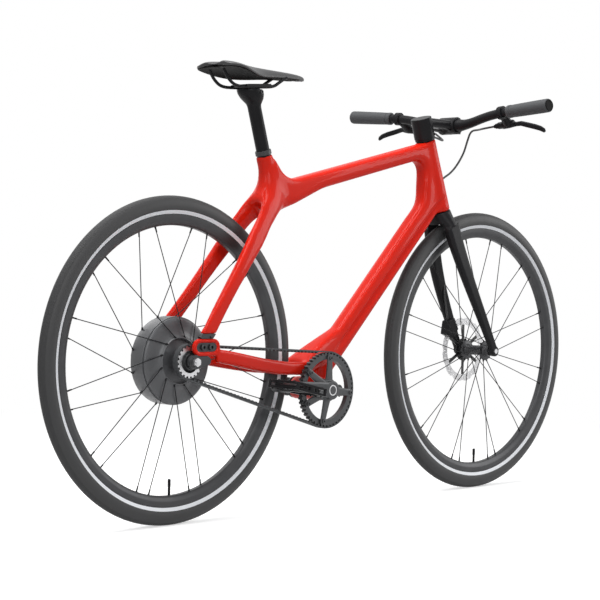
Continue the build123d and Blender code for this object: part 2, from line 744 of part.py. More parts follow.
# Tyre section, from bead to crown: share of the half width, share of the height
tyre_shape = [(0.7, 0.0), (1.0, 0.42), (0.72, 0.84)]


def spin_about(axle, right_half):
    return spin(axle, right_half + [(-y, r) for y, r in reversed(right_half)])


def wheel(name, axle):
    flank = [(half_tyre * wide, tyre_base + tyre_rise * high) for wide, high in tyre_shape]
    tyre = spin(axle, flank + [(0, WHEEL_RADIUS)] + [(-y, r) for y, r in reversed(flank)])
    keep(tyre, f"{name}_tyre")
    half_rim = RIM_WIDTH / 2
    hoop = spin_about(axle, [
        (half_rim, RIM_RADIUS),
        (half_rim, RIM_RADIUS - RIM_SIDE),
        (RIM_NOSE / 2, RIM_INNER),
    ])
    with BuildPart() as rim:
        add(hoop.part)
        with BuildSketch(Plane(origin=axle - Vector(0, 0, RIM_INNER + 4), z_dir=(0, 0, 1))):
            Circle(VALVE / 2)
        extrude(amount=VALVE_LENGTH)
    keep(rim, f"{name}_rim")


def spokes(name, axle, flanges):
    # flanges: where each side's spokes leave the hub, as (distance along the axle, radius)
    rim_seat = RIM_INNER - SPOKE_SEAT
    with BuildPart() as wires:
        for pair in range(SPOKE_PAIRS):
            for (y, radius), turn in zip(flanges, (1, -1)):
                at_rim = radians((pair + 0.5) * 360 / SPOKE_PAIRS + turn * SPOKE_SPREAD)
                at_hub = at_rim + turn * radians(SPOKE_LEAN)
                start = axle + Vector(radius * cos(at_hub), y, radius * sin(at_hub))
                finish = axle + Vector(rim_seat * cos(at_rim), turn * RIM_NOSE / 4, rim_seat * sin(at_rim))
                with BuildSketch(Plane(origin=start, z_dir=finish - start)):
                    Circle(SPOKE / 2)
                extrude(amount=(finish - start).length)
    keep(wires, f"{name}_spokes")


wheel("front", front_axle)
wheel("rear", rear_axle)
bore = AXLE / 2 + RUN
front_end = FRONT_SPACING / 2 - RUN
front_neck = 10.0
front_hub = spin(front_axle, [
    (-front_end, bore),
    (-front_end, front_neck),
    (-FRONT_FLANGE_Y - 6, FRONT_BARREL + 3),
    (-FRONT_FLANGE_Y - 2, FRONT_FLANGE),
    (-FRONT_FLANGE_Y + 2, FRONT_FLANGE),
    (-FRONT_FLANGE_Y + 8, FRONT_BARREL),
    (FRONT_FLANGE_Y - 8, FRONT_BARREL),
    (FRONT_FLANGE_Y - 2, FRONT_FLANGE),
    (FRONT_FLANGE_Y + 2, FRONT_FLANGE),
    (FRONT_FLANGE_Y + 6, DISC_BORE),
    (FRONT_DISC_Y + DISC_THICK, DISC_BORE),
    (FRONT_DISC_Y + DISC_THICK, front_neck),
    (front_end, front_neck),
    (front_end, bore),
])
keep(front_hub, "front_hub")
front_seat = FRONT_FLANGE + SPOKE_SEAT
spokes("front", front_axle, [(FRONT_FLANGE_Y, front_seat), (-FRONT_FLANGE_Y, front_seat)])
keep(disc(front_axle, FRONT_DISC, FRONT_DISC_Y), "front_disc")

rear_end = drop_inner - RUN
rear_neck = 11.0
cog_out = BELT_LINE + BELT_WIDTH / 2
motor_hub = spin(rear_axle, [
    (-rear_end, bore),
    (-rear_end, rear_neck),
    (-cog_out, rear_neck),
    (-cog_out, COG_SEAT),
    (-MOTOR_LIP_Y, COG_SEAT + 6),
    (-MOTOR_LIP_Y, MOTOR_LIP),
    (-MOTOR_LIP_Y + 5, MOTOR_LIP),
    (-MOTOR_RIGHT + 6, MOTOR_LIP + 4),
    (-MOTOR_RIGHT + 4, MOTOR_RADIUS - 12),
    (-MOTOR_RIGHT, MOTOR_RADIUS - 5),
    (-MOTOR_RIGHT + 4, MOTOR_RADIUS),
    (MOTOR_LEFT - 4, MOTOR_RADIUS),
    (MOTOR_LEFT, MOTOR_RADIUS - 6),
    (MOTOR_LEFT + 4, MOTOR_LIP - 10),
    (MOTOR_LEFT + 10, DISC_BORE + 6),
    (REAR_DISC_Y, DISC_BORE + 6),
    (REAR_DISC_Y, DISC_BORE),
    (REAR_DISC_Y + DISC_THICK, DISC_BORE),
    (REAR_DISC_Y + DISC_THICK, rear_neck),
    (rear_end, rear_neck),
    (rear_end, bore),
])
keep(motor_hub, "motor_hub")
left_seat = (MOTOR_LEFT - 6, MOTOR_RADIUS + SPOKE_SEAT)
right_seat = (-MOTOR_LIP_Y + 2, MOTOR_LIP + SPOKE_SEAT)
spokes("rear", rear_axle, [left_seat, right_seat])
keep(disc(rear_axle, REAR_DISC, REAR_DISC_Y), "rear_disc")

cog_bore = COG_SEAT + RUN + COG_WALL
cog_blank = spin(rear_axle, [
    (-cog_out + RUN, cog_bore),
    (-cog_out + RUN, cog_land - RUN),
    (-cog_out + BELT_WIDTH - RUN, cog_land - RUN),
    (-cog_out + BELT_WIDTH + 8, cog_bore + 4),
    (-cog_out + BELT_WIDTH + 8, cog_bore),
])
with BuildPart() as cog:
    add(cog_blank.part)
    cog_grooves = grooves(cog_at, cog_land - RUN, COG_TEETH, cog_phase)
    add(across(cog_grooves, -cog_out - 1, -cog_out + BELT_WIDTH + 9), mode=Mode.SUBTRACT)
keep(cog, "rear_sprocket")

# Crankset
crank_outer = CRANK_INNER + CRANK_THICK
ring_outer = ring_land - RUN
spindle_end = crank_axis - Vector(0, crank_outer, 0)
with BuildPart() as spindle:
    extrude(disc_sketch(spindle_end, SPINDLE / 2), amount=2 * crank_outer)
    extrude(disc_sketch(spindle_end, SPINDLE / 2 - SPINDLE_WALL), amount=2 * crank_outer, mode=Mode.SUBTRACT)
keep(spindle, "crank_spindle")

pedal_middle = crank_outer + PEDAL_GAP + PEDAL_WIDTH / 2
spider_in = BELT_LINE + BELT_WIDTH / 2
spider_reach = ring_outer - RING_BAND / 2
pedal_window = PEDAL_LENGTH / 2 - 2 * PEDAL_BAR
for name, hand in (("left", 1), ("right", -1)):
    back = Vector(hand * cos(radians(CRANK_ANGLE)), 0, -hand * sin(radians(CRANK_ANGLE)))
    eye = crank_axis + back * CRANK
    with BuildPart() as crank:
        with BuildSketch(Plane.XZ.offset(-hand * CRANK_INNER)):
            with Locations(ring_at):
                Circle(CRANK_BOSS)
            with Locations((eye.X, eye.Z)):
                Circle(CRANK_EYE)
            make_hull()
            with Locations(ring_at):
                Circle(SPINDLE / 2 + SEAT, mode=Mode.SUBTRACT)
        extrude(amount=-hand * CRANK_THICK)
        if hand < 0:
            with BuildSketch(Plane.XZ.offset(spider_in)):
                with Locations(ring_at):
                    Circle(SPIDER_HUB)
                    with PolarLocations(spider_reach / 2, SPIDER_ARMS, start_angle=180 - CRANK_ANGLE):
                        Rectangle(spider_reach, SPIDER_ARM)
                    Circle(SPINDLE / 2 + SEAT, mode=Mode.SUBTRACT)
            extrude(amount=CRANK_INNER - spider_in)
        with BuildSketch(Plane(origin=eye + Vector(0, hand * CRANK_INNER, 0), z_dir=(0, hand, 0))):
            Circle(PEDAL_AXLE / 2)
        extrude(amount=CRANK_THICK + PEDAL_GAP + PEDAL_WIDTH - PEDAL_BAR)
    keep(crank, f"crank_{name}")

    middle = eye + Vector(0, hand * pedal_middle, 0)
    tilt = radians(PEDAL_TILT)
    tread = Plane(origin=middle, x_dir=(cos(tilt), 0, -sin(tilt)), z_dir=(sin(tilt), 0, cos(tilt)))
    with BuildPart() as pedal:
        with BuildSketch(tread.offset(-PEDAL_THICK / 2)):
            RectangleRounded(PEDAL_LENGTH, PEDAL_WIDTH, 14)
            with Locations((-PEDAL_LENGTH / 4 + 1, 0), (PEDAL_LENGTH / 4 - 1, 0)):
                RectangleRounded(pedal_window, PEDAL_WIDTH - 2 * PEDAL_BAR, 5, mode=Mode.SUBTRACT)
        extrude(amount=PEDAL_THICK)
        axle_room = across(disc_sketch(eye, PEDAL_AXLE / 2 + RUN), hand * crank_outer,
                           hand * (pedal_middle + PEDAL_WIDTH / 2 - PEDAL_BAR / 2))
        add(axle_room, mode=Mode.SUBTRACT)
    keep(pedal, f"pedal_{name}")

with BuildPart() as ring:
    with BuildSketch(Plane.XZ.offset(BELT_LINE - BELT_WIDTH / 2 + RUN)):
        with Locations(ring_at):
            Circle(ring_outer)
            Circle(ring_outer - RING_BAND, mode=Mode.SUBTRACT)
        add(grooves(ring_at, ring_outer, RING_TEETH, ring_phase), mode=Mode.SUBTRACT)
    extrude(amount=BELT_WIDTH - RUN)
keep(ring, "belt_ring")

# Fork: share of the way from crown to axle, set back, half the gap, depth and width
leg_table = [
    (0.0, 0.0, 30.0, 46.0, 24.0),
    (0.22, 10.0, 40.0, 40.0, 21.0),
    (0.6, 10.0, 51.0, 31.0, 17.0),
    (0.99, 0.0, FRONT_SPACING / 2 + TIP_THICK / 2, 23.0, TIP_THICK),
]
crown_top = head_low - steer_up * RUN
crown_low = head_low - steer_up * CROWN
column_foot = head_high + steer_up * (RUN + COVER)
column_top = column_foot + steer_up * COLUMN_HEIGHT
leg_way = crown_low - front_axle
tip_inner = FRONT_SPACING / 2
with BuildPart() as fork:
    with BuildSketch(Plane(origin=crown_top, z_dir=steer_up)):
        Circle(HEAD_LOW_RADIUS)
    with BuildSketch(Plane(origin=crown_low, x_dir=(0, 1, 0), z_dir=steer_up)):
        Ellipse(CROWN_HALF, CROWN_DEPTH)
    loft()
    with BuildSketch(Plane(origin=crown_low, z_dir=steer_up)):
        Circle(STEERER / 2)
    extrude(amount=(column_top - crown_low).length - 3)
    for hand in (1, -1):
        loft([
            section(
                crown_low - leg_way * share + Vector(-setback, hand * out, 0),
                leg_way, width, depth, width * 0.4,
            )
            for share, setback, out, depth, width in leg_table
        ])
        add(across(disc_sketch(front_axle, TIP_RADIUS), hand * tip_inner, hand * (tip_inner + TIP_THICK)))
        axle_hole = disc_sketch(front_axle, AXLE / 2 + SEAT)
        add(across(axle_hole, hand * tip_inner, hand * (tip_inner + TIP_THICK)), mode=Mode.SUBTRACT)
    tyre_space = disc_sketch(front_axle, WHEEL_RADIUS + TYRE_ROOM)
    add(across(tyre_space, half_tyre + TYRE_ROOM, -half_tyre - TYRE_ROOM), mode=Mode.SUBTRACT)
keep(fork, "fork")

pin_end = tip_inner + TIP_THICK + 2
with BuildPart() as front_axle_pin:
    extrude(disc_sketch(front_axle - Vector(0, pin_end, 0), AXLE / 2), amount=2 * pin_end)
keep(front_axle_pin, "front_axle")

with BuildPart() as cover:
    with BuildSketch(Plane(origin=head_high + steer_up * RUN, z_dir=steer_up)):
        Circle(HEAD_TOP_RADIUS)
        Circle(STEERER / 2 + SEAT, mode=Mode.SUBTRACT)
    extrude(amount=COVER)
keep(cover, "headset_cover")

# Stem: a column round the steerer and an arm, hollowed below, to the bar's clamp
arm_foot = column_foot + steer_up * (COLUMN_HEIGHT - ARM_DROP)
bar_middle = arm_foot + Vector(STEM_REACH, 0, 0)
arm_way = bar_middle - arm_foot
arm_waist = arm_foot + arm_way * 0.52 + Vector(0, 0, ARM_ARCH / 2)
clamp_side = bar_middle - Vector(0, CLAMP_WIDTH / 2, 0)
with BuildPart() as stem:
    with BuildSketch(Plane(origin=column_foot, z_dir=steer_up)):
        Circle(COLUMN)
    extrude(amount=COLUMN_HEIGHT)
    loft([
        section(arm_foot, arm_way, 42, ARM_DEPTH, 10),
        section(arm_waist, arm_way, 38, ARM_DEPTH - ARM_ARCH, 9),
        section(bar_middle, arm_way, 46, ARM_DEPTH, 10),
    ])
    extrude(disc_sketch(clamp_side, BAR / 2 + CLAMP_WALL), amount=CLAMP_WIDTH)
    extrude(disc_sketch(clamp_side, BAR / 2 + SEAT), amount=CLAMP_WIDTH, mode=Mode.SUBTRACT)
    with BuildSketch(Plane(origin=column_foot, z_dir=steer_up)):
        Circle(STEERER / 2 + SEAT)
    extrude(amount=COLUMN_HEIGHT - 2, mode=Mode.SUBTRACT)
keep(stem, "stem")

# Handlebar, from its middle outwards: sweep back, half width, rise
bar_table = [(0.0, 45.0, 0.0), (2.0, BAR_HALF - BAR_STRAIGHT, 22.0), (15.0, BAR_HALF, 34.0)]
bar_points = [bar_middle + Vector(-back, out, rise) for back, out, rise in reversed(bar_table)]
bar_points += [bar_middle + Vector(-back, -out, rise) for back, out, rise in bar_table]
bulge_end = BULGE_HALF + BULGE_TAPER
with BuildPart() as bar:
    add(bent_tube(bar_points, BAR_BEND, BAR_END / 2))
    bulge = [(bulge_end, 0), (bulge_end, BAR_END / 2 - 1), (BULGE_HALF, BAR / 2)]
    add(spin_about(bar_middle, bulge).part)
keep(bar, "handlebar")


def bar_spot(row, hand):
    back, out, rise = bar_table[row]
    return bar_middle + Vector(-back, hand * out, rise)


with BuildPart() as plugs:
    for hand in (1, -1):
        with BuildSketch(Plane(origin=bar_spot(2, hand), z_dir=bar_spot(2, hand) - bar_spot(1, hand))):
            Circle(GRIP / 2 - 2)
        extrude(amount=PLUG)
keep(plugs, "bar_end_plugs")

# Brake levers: clamp, neck, cylinder along the bar, and a bent blade
hose_starts = {}
hose_ways = {}
for name, hand in (("left", 1), ("right", -1)):
    tip = bar_spot(2, hand)
    inward = (bar_spot(1, hand) - tip).normalized()
    with BuildPart() as grip:
        with BuildSketch(Plane(origin=tip, z_dir=inward)):
            Circle(GRIP / 2)
            Circle(BAR_END / 2 + SEAT, mode=Mode.SUBTRACT)
        extrude(amount=GRIP_LENGTH)
    keep(grip, f"grip_{name}")

    perch = tip + inward * LEVER_IN
    neck = perch + Vector(13, 0, -14)
    pivot = perch + Vector(34, -hand * 14, -24)
    cylinder_end = perch + Vector(34, -hand * 48, -28)
    hose_starts[name] = cylinder_end
    hose_ways[name] = (cylinder_end - pivot).normalized()
    with BuildPart() as lever:
        with BuildSketch(Plane(origin=perch - inward * LEVER_CLAMP / 2, z_dir=inward)):
            Circle(BAR_END / 2 + LEVER_WALL)
            Circle(BAR_END / 2 + SEAT, mode=Mode.SUBTRACT)
        extrude(amount=LEVER_CLAMP)
        with BuildSketch(Plane(origin=neck, z_dir=pivot - neck)):
            Circle(6)
        extrude(amount=(pivot - neck).length + 4)
        with BuildSketch(Plane(origin=pivot, z_dir=cylinder_end - pivot)):
            Circle(8)
        extrude(amount=(cylinder_end - pivot).length)
        blade = [pivot, pivot + Vector(8, hand * 34, -6), pivot + Vector(2, hand * 86, -11),
                 pivot + Vector(8, hand * 104, -11)]
        add(bent_tube(blade, LEVER_BEND, 5))
    keep(lever, f"brake_lever_{name}")

# Front caliper behind the left blade
caliper_corners = [(-76, 40), (-50, 30), (-32, 52), (-48, 80), (-70, 72)]
with BuildPart() as front_caliper:
    with BuildSketch(Plane.XZ.offset(DISC_ROOM - 1 - FRONT_DISC_Y)):
        with BuildLine():
            Polyline(*[side(WHEELBASE + x, WHEEL_RADIUS + z) for x, z in caliper_corners], close=True)
        make_face()
    extrude(amount=-CALIPER)
    add(fork.part, mode=Mode.SUBTRACT)
    add(across(disc_sketch(front_axle, FRONT_DISC + 4), FRONT_DISC_Y - DISC_GAP,
               FRONT_DISC_Y + DISC_THICK + DISC_GAP), mode=Mode.SUBTRACT)
keep(front_caliper, "front_caliper")

# Brake hoses between levers and frame
entry_share = HOSE_ENTRY / HEAD_HEIGHT
entry_radius = HEAD_LOW_RADIUS + (HEAD_TOP_RADIUS - HEAD_LOW_RADIUS) * entry_share
steer_front = Vector(sin(radians(HEAD_ANGLE)), 0, cos(radians(HEAD_ANGLE)))
entry = head_low + (head_high - head_low) * entry_share + steer_front * (entry_radius + RUN)
right_start, right_way = hose_starts["right"], hose_ways["right"]
left_start, left_way = hose_starts["left"], hose_ways["left"]
with BuildPart() as hose_loop:
    add(bent_tube([right_start + right_way * SEAT, right_start + right_way * 36,
                   bar_middle + Vector(66, -30, -18), bar_middle + Vector(60, -4, -62),
                   entry + steer_front * 22, entry], HOSE_BEND / 2, HOSE / 2))
keep(hose_loop, "rear_brake_hose")

# The front hose goes into the stem, and comes out of the left blade to its caliper
blade_exit = front_axle + Vector(-92, tip_inner - 1, 160)
caliper_inlet = front_axle + Vector(-62, tip_inner - 8, 76 + SEAT)
with BuildPart() as front_hose:
    add(bent_tube([left_start + left_way * SEAT, left_start + left_way * 36,
                   bar_middle + Vector(12, 26, -34),
                   column_foot + steer_up * 3 + steer_front * (COLUMN + HOSE / 2)], HOSE_BEND, HOSE / 2))
    add(bent_tube([blade_exit, blade_exit + Vector(-14, 1, -24), caliper_inlet + Vector(-12, 2, 30),
                   caliper_inlet], HOSE_BEND, HOSE / 2))
    add(fork.part, mode=Mode.SUBTRACT)
keep(front_hose, "front_brake_hose")
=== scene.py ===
import json
from math import cos, pi, radians, sin

import bmesh
import bpy
import numpy as np
from mathutils import Matrix, Vector


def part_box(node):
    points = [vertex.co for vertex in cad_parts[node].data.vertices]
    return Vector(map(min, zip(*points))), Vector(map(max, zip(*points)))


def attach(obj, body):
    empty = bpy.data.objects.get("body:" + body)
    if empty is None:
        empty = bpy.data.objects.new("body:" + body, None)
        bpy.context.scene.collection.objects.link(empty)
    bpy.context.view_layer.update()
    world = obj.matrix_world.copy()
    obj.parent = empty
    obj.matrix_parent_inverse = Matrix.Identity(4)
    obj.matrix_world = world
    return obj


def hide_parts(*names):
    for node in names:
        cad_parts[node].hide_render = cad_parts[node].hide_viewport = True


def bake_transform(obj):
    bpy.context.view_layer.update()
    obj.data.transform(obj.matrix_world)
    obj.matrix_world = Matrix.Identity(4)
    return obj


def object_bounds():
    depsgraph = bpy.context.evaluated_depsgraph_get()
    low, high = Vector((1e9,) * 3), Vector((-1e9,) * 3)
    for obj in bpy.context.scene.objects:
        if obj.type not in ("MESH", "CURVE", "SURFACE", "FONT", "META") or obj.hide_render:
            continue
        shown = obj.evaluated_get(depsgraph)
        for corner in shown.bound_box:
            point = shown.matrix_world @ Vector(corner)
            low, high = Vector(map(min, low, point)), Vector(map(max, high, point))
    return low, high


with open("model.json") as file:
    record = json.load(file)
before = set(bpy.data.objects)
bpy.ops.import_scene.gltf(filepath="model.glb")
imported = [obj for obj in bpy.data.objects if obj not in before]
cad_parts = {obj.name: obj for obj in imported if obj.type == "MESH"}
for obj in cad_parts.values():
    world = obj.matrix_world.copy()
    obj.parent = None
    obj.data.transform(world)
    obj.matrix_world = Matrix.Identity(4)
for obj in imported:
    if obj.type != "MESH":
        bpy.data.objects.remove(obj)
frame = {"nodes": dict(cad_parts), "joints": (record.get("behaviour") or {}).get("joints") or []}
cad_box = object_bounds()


# The frame is one moulded shell: head tube, top tube, down tube, seat lug and both pairs of stays,
# laid up as one piece and lacquered red. Its joints have no seams, only soft blends.
MM = 0.001
joints = {joint["name"]: joint for joint in frame["joints"]}
rear_axle = Vector(joints["rear_wheel_spin"]["pos_m"])
front_axle = Vector(joints["front_wheel_spin"]["pos_m"])
crank_axis = Vector(joints["crank_spin"]["pos_m"])
steer_up = Vector(joints["steering_turn"]["axis"])
steer_front = Vector((steer_up.z, 0, -steer_up.x))
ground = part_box("rear_tyre")[0].z
LEFT, RIGHT = 1, -1
FAIR_IN = 0.5
FAIR_OUT = -0.53
CARVE_FAIRING = 3
BLEND_EDGE = 1.5
CORE_SIDES = 64


def at(x, y, z):
    """A place in millimetres: forward of the rear axle, left of the middle, up from the ground."""
    return Vector((rear_axle.x + x * MM, y * MM, ground + z * MM))


class Field:
    """One socket in a material. Python's operators on it add Math nodes."""

    def __init__(self, tree, socket=None):
        self.tree = tree
        self.socket = socket

    def node(self, kind, settings=None, links=None, out=0):
        made = self.tree.nodes.new("ShaderNode" + kind)
        for name, value in (settings or {}).items():
            setattr(made, name, value)
        for name, value in (links or {}).items():
            if isinstance(value, Field):
                self.tree.links.new(value.socket, made.inputs[name])
            else:
                made.inputs[name].default_value = value
        return Field(self.tree, made.outputs[out] if made.outputs else None)

    def math(self, operation, first, second=0.0):
        return self.node("Math", {"operation": operation}, {0: first, 1: second})

    def __add__(self, other):
        return self.math("ADD", self, other)

    def __radd__(self, other):
        return self.math("ADD", other, self)

    def __mul__(self, other):
        return self.math("MULTIPLY", self, other)

    def __rmul__(self, other):
        return self.math("MULTIPLY", other, self)


def fresh(owner):
    """The emptied node tree of a material or a world."""
    owner.use_nodes = True
    owner.node_tree.nodes.clear()
    return Field(owner.node_tree)


def finish(name, recipe):
    """A material whose recipe gives the values or links of its Principled shader."""
    material = bpy.data.materials.new(name)
    field = fresh(material)
    shader = field.node("BsdfPrincipled", links=recipe(field))
    field.node("OutputMaterial", links={"Surface": shader})
    return material


def here(field):
    """The place on the piece, which moves with it."""
    return field.node("TexCoord", out="Object")


def noise(field, scale, detail=2.0):
    cloud = {"Vector": here(field), "Scale": scale, "Detail": detail}
    return field.node("TexNoise", links=cloud, out="Fac")


def between(field, share, first, second):
    """A colour between two others."""
    return field.node("Mix", {"data_type": "RGBA"}, {0: share, 6: first, 7: second}, out=2)


def relief(field, height, depth, strength=1.0):
    bump = {"Height": height, "Distance": depth, "Strength": strength}
    return field.node("Bump", links=bump, out="Normal")


def coated(name, colours, cloud, rough, grain, by_grain=True, more=None):
    """A finish of two clouded colours under a fine grain.

    Cloud: scale and detail. Rough: least roughness and its rise. Grain: scale, depth, strength.
    """
    def recipe(field):
        clouds = noise(field, *cloud)
        fine = noise(field, grain[0])
        return {
            "Base Color": between(field, clouds, *colours),
            "Roughness": rough[0] + rough[1] * (fine if by_grain else clouds),
            "Normal": relief(field, fine, *grain[1:]),
            **(more or {}),
        }
    return finish(name, recipe)


def placed(name, data):
    """A new object in the scene."""
    made = bpy.data.objects.new(name, data)
    bpy.context.scene.collection.objects.link(made)
    return made


def put(name, mesh, material, body, slot, *nodes):
    """A finished piece on its body, in place of the solids it stands for."""
    piece = placed(name, mesh)
    mesh.materials.clear()
    mesh.materials.append(material)
    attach(piece, body)
    if nodes:
        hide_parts(*nodes)
    return piece


def faired(points, edges, degree, passes, share=1.0, keep_size=True):
    """Moves points towards their neighbours; a step back out keeps the form from shrinking."""
    steps = (FAIR_IN, FAIR_OUT) if keep_size else (FAIR_IN,)
    for step in steps * passes:
        total = np.stack([np.bincount(edges[:, 0], points[edges[:, 1], axis], len(points))
                          + np.bincount(edges[:, 1], points[edges[:, 0], axis], len(points))
                          for axis in range(3)], axis=1)
        points = points + step * share * (total / degree - points)
    return points


def moulded(name, nodes, material, body, slot, voxel, fairing, blends=(), carve=None, core=None):
    """The solids of some nodes as one skin round a core, with soft blends at listed places."""
    cast = bmesh.new()
    for node in nodes:
        cast.from_mesh(frame["nodes"][node].data)
    if core:
        low, high, radius = core
        lean = (high - low).to_track_quat("Z", "Y").to_matrix().to_4x4()
        stand = Matrix.Translation((low + high) / 2) @ lean
        bmesh.ops.create_cone(cast, cap_ends=True, segments=CORE_SIDES, radius1=radius * MM,
                              radius2=radius * MM, depth=(high - low).length, matrix=stand)
    rough = bpy.data.meshes.new(name)
    cast.to_mesh(rough)
    cast.free()
    blank = placed(name, rough)
    wrap = blank.modifiers.new("wrap", "REMESH")
    wrap.mode = "VOXEL"
    wrap.voxel_size = voxel * MM
    wrapped = blank.evaluated_get(bpy.context.evaluated_depsgraph_get())
    mesh = bpy.data.meshes.new_from_object(wrapped)
    bpy.data.objects.remove(blank)
    bpy.data.meshes.remove(rough)
    points = np.empty(len(mesh.vertices) * 3)
    mesh.vertices.foreach_get("co", points)
    points = points.reshape(-1, 3)
    edges = np.empty(len(mesh.edges) * 2, dtype=int)
    mesh.edges.foreach_get("vertices", edges)
    edges = edges.reshape(-1, 2)
    degree = np.bincount(edges.ravel(), minlength=len(points))[:, None]
    points = faired(points, edges, degree, fairing)
    for place, reach, passes in blends:
        away = np.linalg.norm(points - np.array(place), axis=1)[:, None] / (reach * MM)
        share = np.clip(BLEND_EDGE - BLEND_EDGE * away, 0.0, 1.0)
        points = faired(points, edges, degree, passes, share, keep_size=False)
    if carve:
        points = faired(carve(points), edges, degree, CARVE_FAIRING)
    mesh.vertices.foreach_set("co", points.ravel())
    mesh.update()
    mesh.name = name
    mesh.shade_smooth()
    return put(name, mesh, material, body, slot, *nodes)


RED = (0.84, 0.022, 0.008, 1.0)
RED_DEEP = (0.74, 0.016, 0.006, 1.0)
lacquer = coated("red_lacquer", (RED, RED_DEEP), (5.0, 2.0), (0.34, 0.05), (160.0, 0.000005),
                 by_grain=False,
                 more={"Specular IOR Level": 0.05, "Coat Weight": 0.18, "Coat Roughness": 0.05})
FRAME_NODES = (
    "main_frame", "seat_stay_left", "seat_stay_right", "chain_stay_left", "chain_stay_right",
)
DOWN_LOW = at(392.0, 0.0, 270.0)
DOWN_HIGH = at(848.0, 0.0, 716.0)
GROOVE_DEPTH = 8.0
GROOVE_UPPER = 5.0
GROOVE_LOWER = 13.0
GROOVE_LIP = 4.0
GROOVE_INNER = 8.0
# The groove along the tube, in shares of its length: where it starts and ends, and how fast
GROOVE_START = 0.16
GROOVE_RISE = 0.16
GROOVE_END = 1.02
GROOVE_FALL = 0.12
# Soft blends: where, how far they reach in millimetres, how many fairing passes
blend_table = [
    (at(560.0, 0.0, 520.0), 600.0, 26),
    (at(254.0, 0.0, 684.0), 98.0, 60),
    (at(264.0, 26.0, 652.0), 90.0, 90),
    (at(264.0, -26.0, 652.0), 90.0, 90),
    (at(352.0, 0.0, 300.0), 85.0, 40),
    (at(800.0, 0.0, 700.0), 70.0, 30),
    (at(800.0, 0.0, 800.0), 60.0, 30),
]


def side_groove(points):
    """A long hollow along both sides of the down tube, crisp above and soft below."""
    way = np.array(DOWN_HIGH - DOWN_LOW)
    length = np.linalg.norm(way)
    way = way / length
    across = np.array((-way[2], 0.0, way[0]))
    offset = points - np.array(DOWN_LOW)
    share = offset @ way / length
    aside = offset @ across / MM
    ends = np.clip((share - GROOVE_START) / GROOVE_RISE, 0, 1)
    ends = ends * np.clip((GROOVE_END - share) / GROOVE_FALL, 0, 1)
    upper = np.clip((GROOVE_UPPER - aside) / GROOVE_LIP, 0, 1)
    lower = np.clip((aside + GROOVE_LOWER) / GROOVE_LOWER, 0, 1)
    depth = GROOVE_DEPTH * MM * ends * upper * lower
    carved = points.copy()
    outside = np.abs(points[:, 1]) > GROOVE_INNER * MM
    carved[:, 1] -= np.sign(points[:, 1]) * np.where(outside, depth, 0.0)
    return carved


# The seat tube is closed by the post inside it, so it is cast round a core along the post
SEAT_CORE = (at(290.5, 0.0, 682.0), at(261.0, 0.0, 777.0), 18.2)
moulded("frame_shell", FRAME_NODES, lacquer, "frame", "frame_red", voxel=2.4, fairing=16,
        blends=blend_table, carve=side_groove, core=SEAT_CORE)


# Rear lugs carry sliding dropouts of dark anodised aluminium, each held by two screws in its slot.
# A dark band joins the right seat stay to its lug, so that the frame opens there for the belt.
GRAPHITE = (0.035, 0.036, 0.038, 1.0)
GRAPHITE_WORN = (0.06, 0.06, 0.063, 1.0)
SLOT_MIDDLE = Vector((33.0, 0.0, 373.0))
SLOT_FACE = 71.8
SLOT_SCREW_SHIFT = 11.0
SLOT_SCREW = 6.4
BAND_SCREW_SEAT = at(42.0, -75.2, 394.0)
SMALL_SCREW = 2.6
# Threaded inserts for a rack on the inner side of each seat stay
RACK_INSERTS = ((114.3, 51.5, 496.4), (175.0, 42.1, 571.8))
insert_rows = [(-3.0, 3.6), (0.5, 3.6), (0.8, 3.2), (0.8, 2.2), (-2.0, 2.2), (-2.0, 0.0)]


def soften(mesh, angle=32.0):
    """Soft shading on round faces, crisp lines at the edges."""
    mesh.shade_smooth()
    mesh.set_sharp_from_angle(angle=radians(angle))
    return mesh


def dress(material, *nodes):
    """A carried-over solid gets its finish."""
    for node in nodes:
        mesh = frame["nodes"][node].data
        mesh.materials.clear()
        mesh.materials.append(material)
        soften(mesh)


def skin(name, points, faces, angle=32.0):
    """Faces over a list of points, merged where they meet and facing outwards."""
    work = bmesh.new()
    corners = [work.verts.new(point) for point in points]
    for face in faces:
        work.faces.new([corners[index] for index in face])
    bmesh.ops.remove_doubles(work, verts=work.verts, dist=1e-6)
    bmesh.ops.recalc_face_normals(work, faces=work.faces)
    mesh = bpy.data.meshes.new(name)
    work.to_mesh(mesh)
    work.free()
    return soften(mesh, angle)


def loft(name, rings, ends=True, round_trip=False, angle=32.0):
    """A skin over rings of equally many points."""
    sides = len(rings[0])
    points = [point for ring in rings for point in ring]
    faces = []
    for row in range(len(rings) if round_trip else len(rings) - 1):
        upper = row * sides
        lower = (row + 1) % len(rings) * sides
        for k in range(sides):
            nearby = (k + 1) % sides
            faces.append((upper + k, upper + nearby, lower + nearby, lower + k))
    if ends and not round_trip:
        faces.append(tuple(range(sides)))
        faces.append(tuple(range(len(points) - sides, len(points))))
    return skin(name, points, faces, angle)


def circle(centre, first, second, radius, sides):
    """A ring of points in the plane of two directions, radius in millimetres."""
    turns = [2 * pi * k / sides for k in range(sides)]
    return [centre + (first * cos(turn) + second * sin(turn)) * radius * MM for turn in turns]


def lathe(name, centre, axis, profile, sides=96, round_trip=False, angle=32.0):
    """A turned piece from rows of (distance along its axis, radius) in millimetres."""
    axis = Vector(axis).normalized()
    first = axis.orthogonal().normalized()
    second = axis.cross(first)
    rings = [circle(centre + axis * along * MM, first, second, radius, sides)
             for along, radius in profile]
    return loft(name, rings, round_trip=round_trip, angle=angle)


def joined(name, meshes):
    """Several meshes as one."""
    work = bmesh.new()
    for mesh in meshes:
        work.from_mesh(mesh)
        bpy.data.meshes.remove(mesh)
    mesh = bpy.data.meshes.new(name)
    work.to_mesh(mesh)
    work.free()
    return mesh


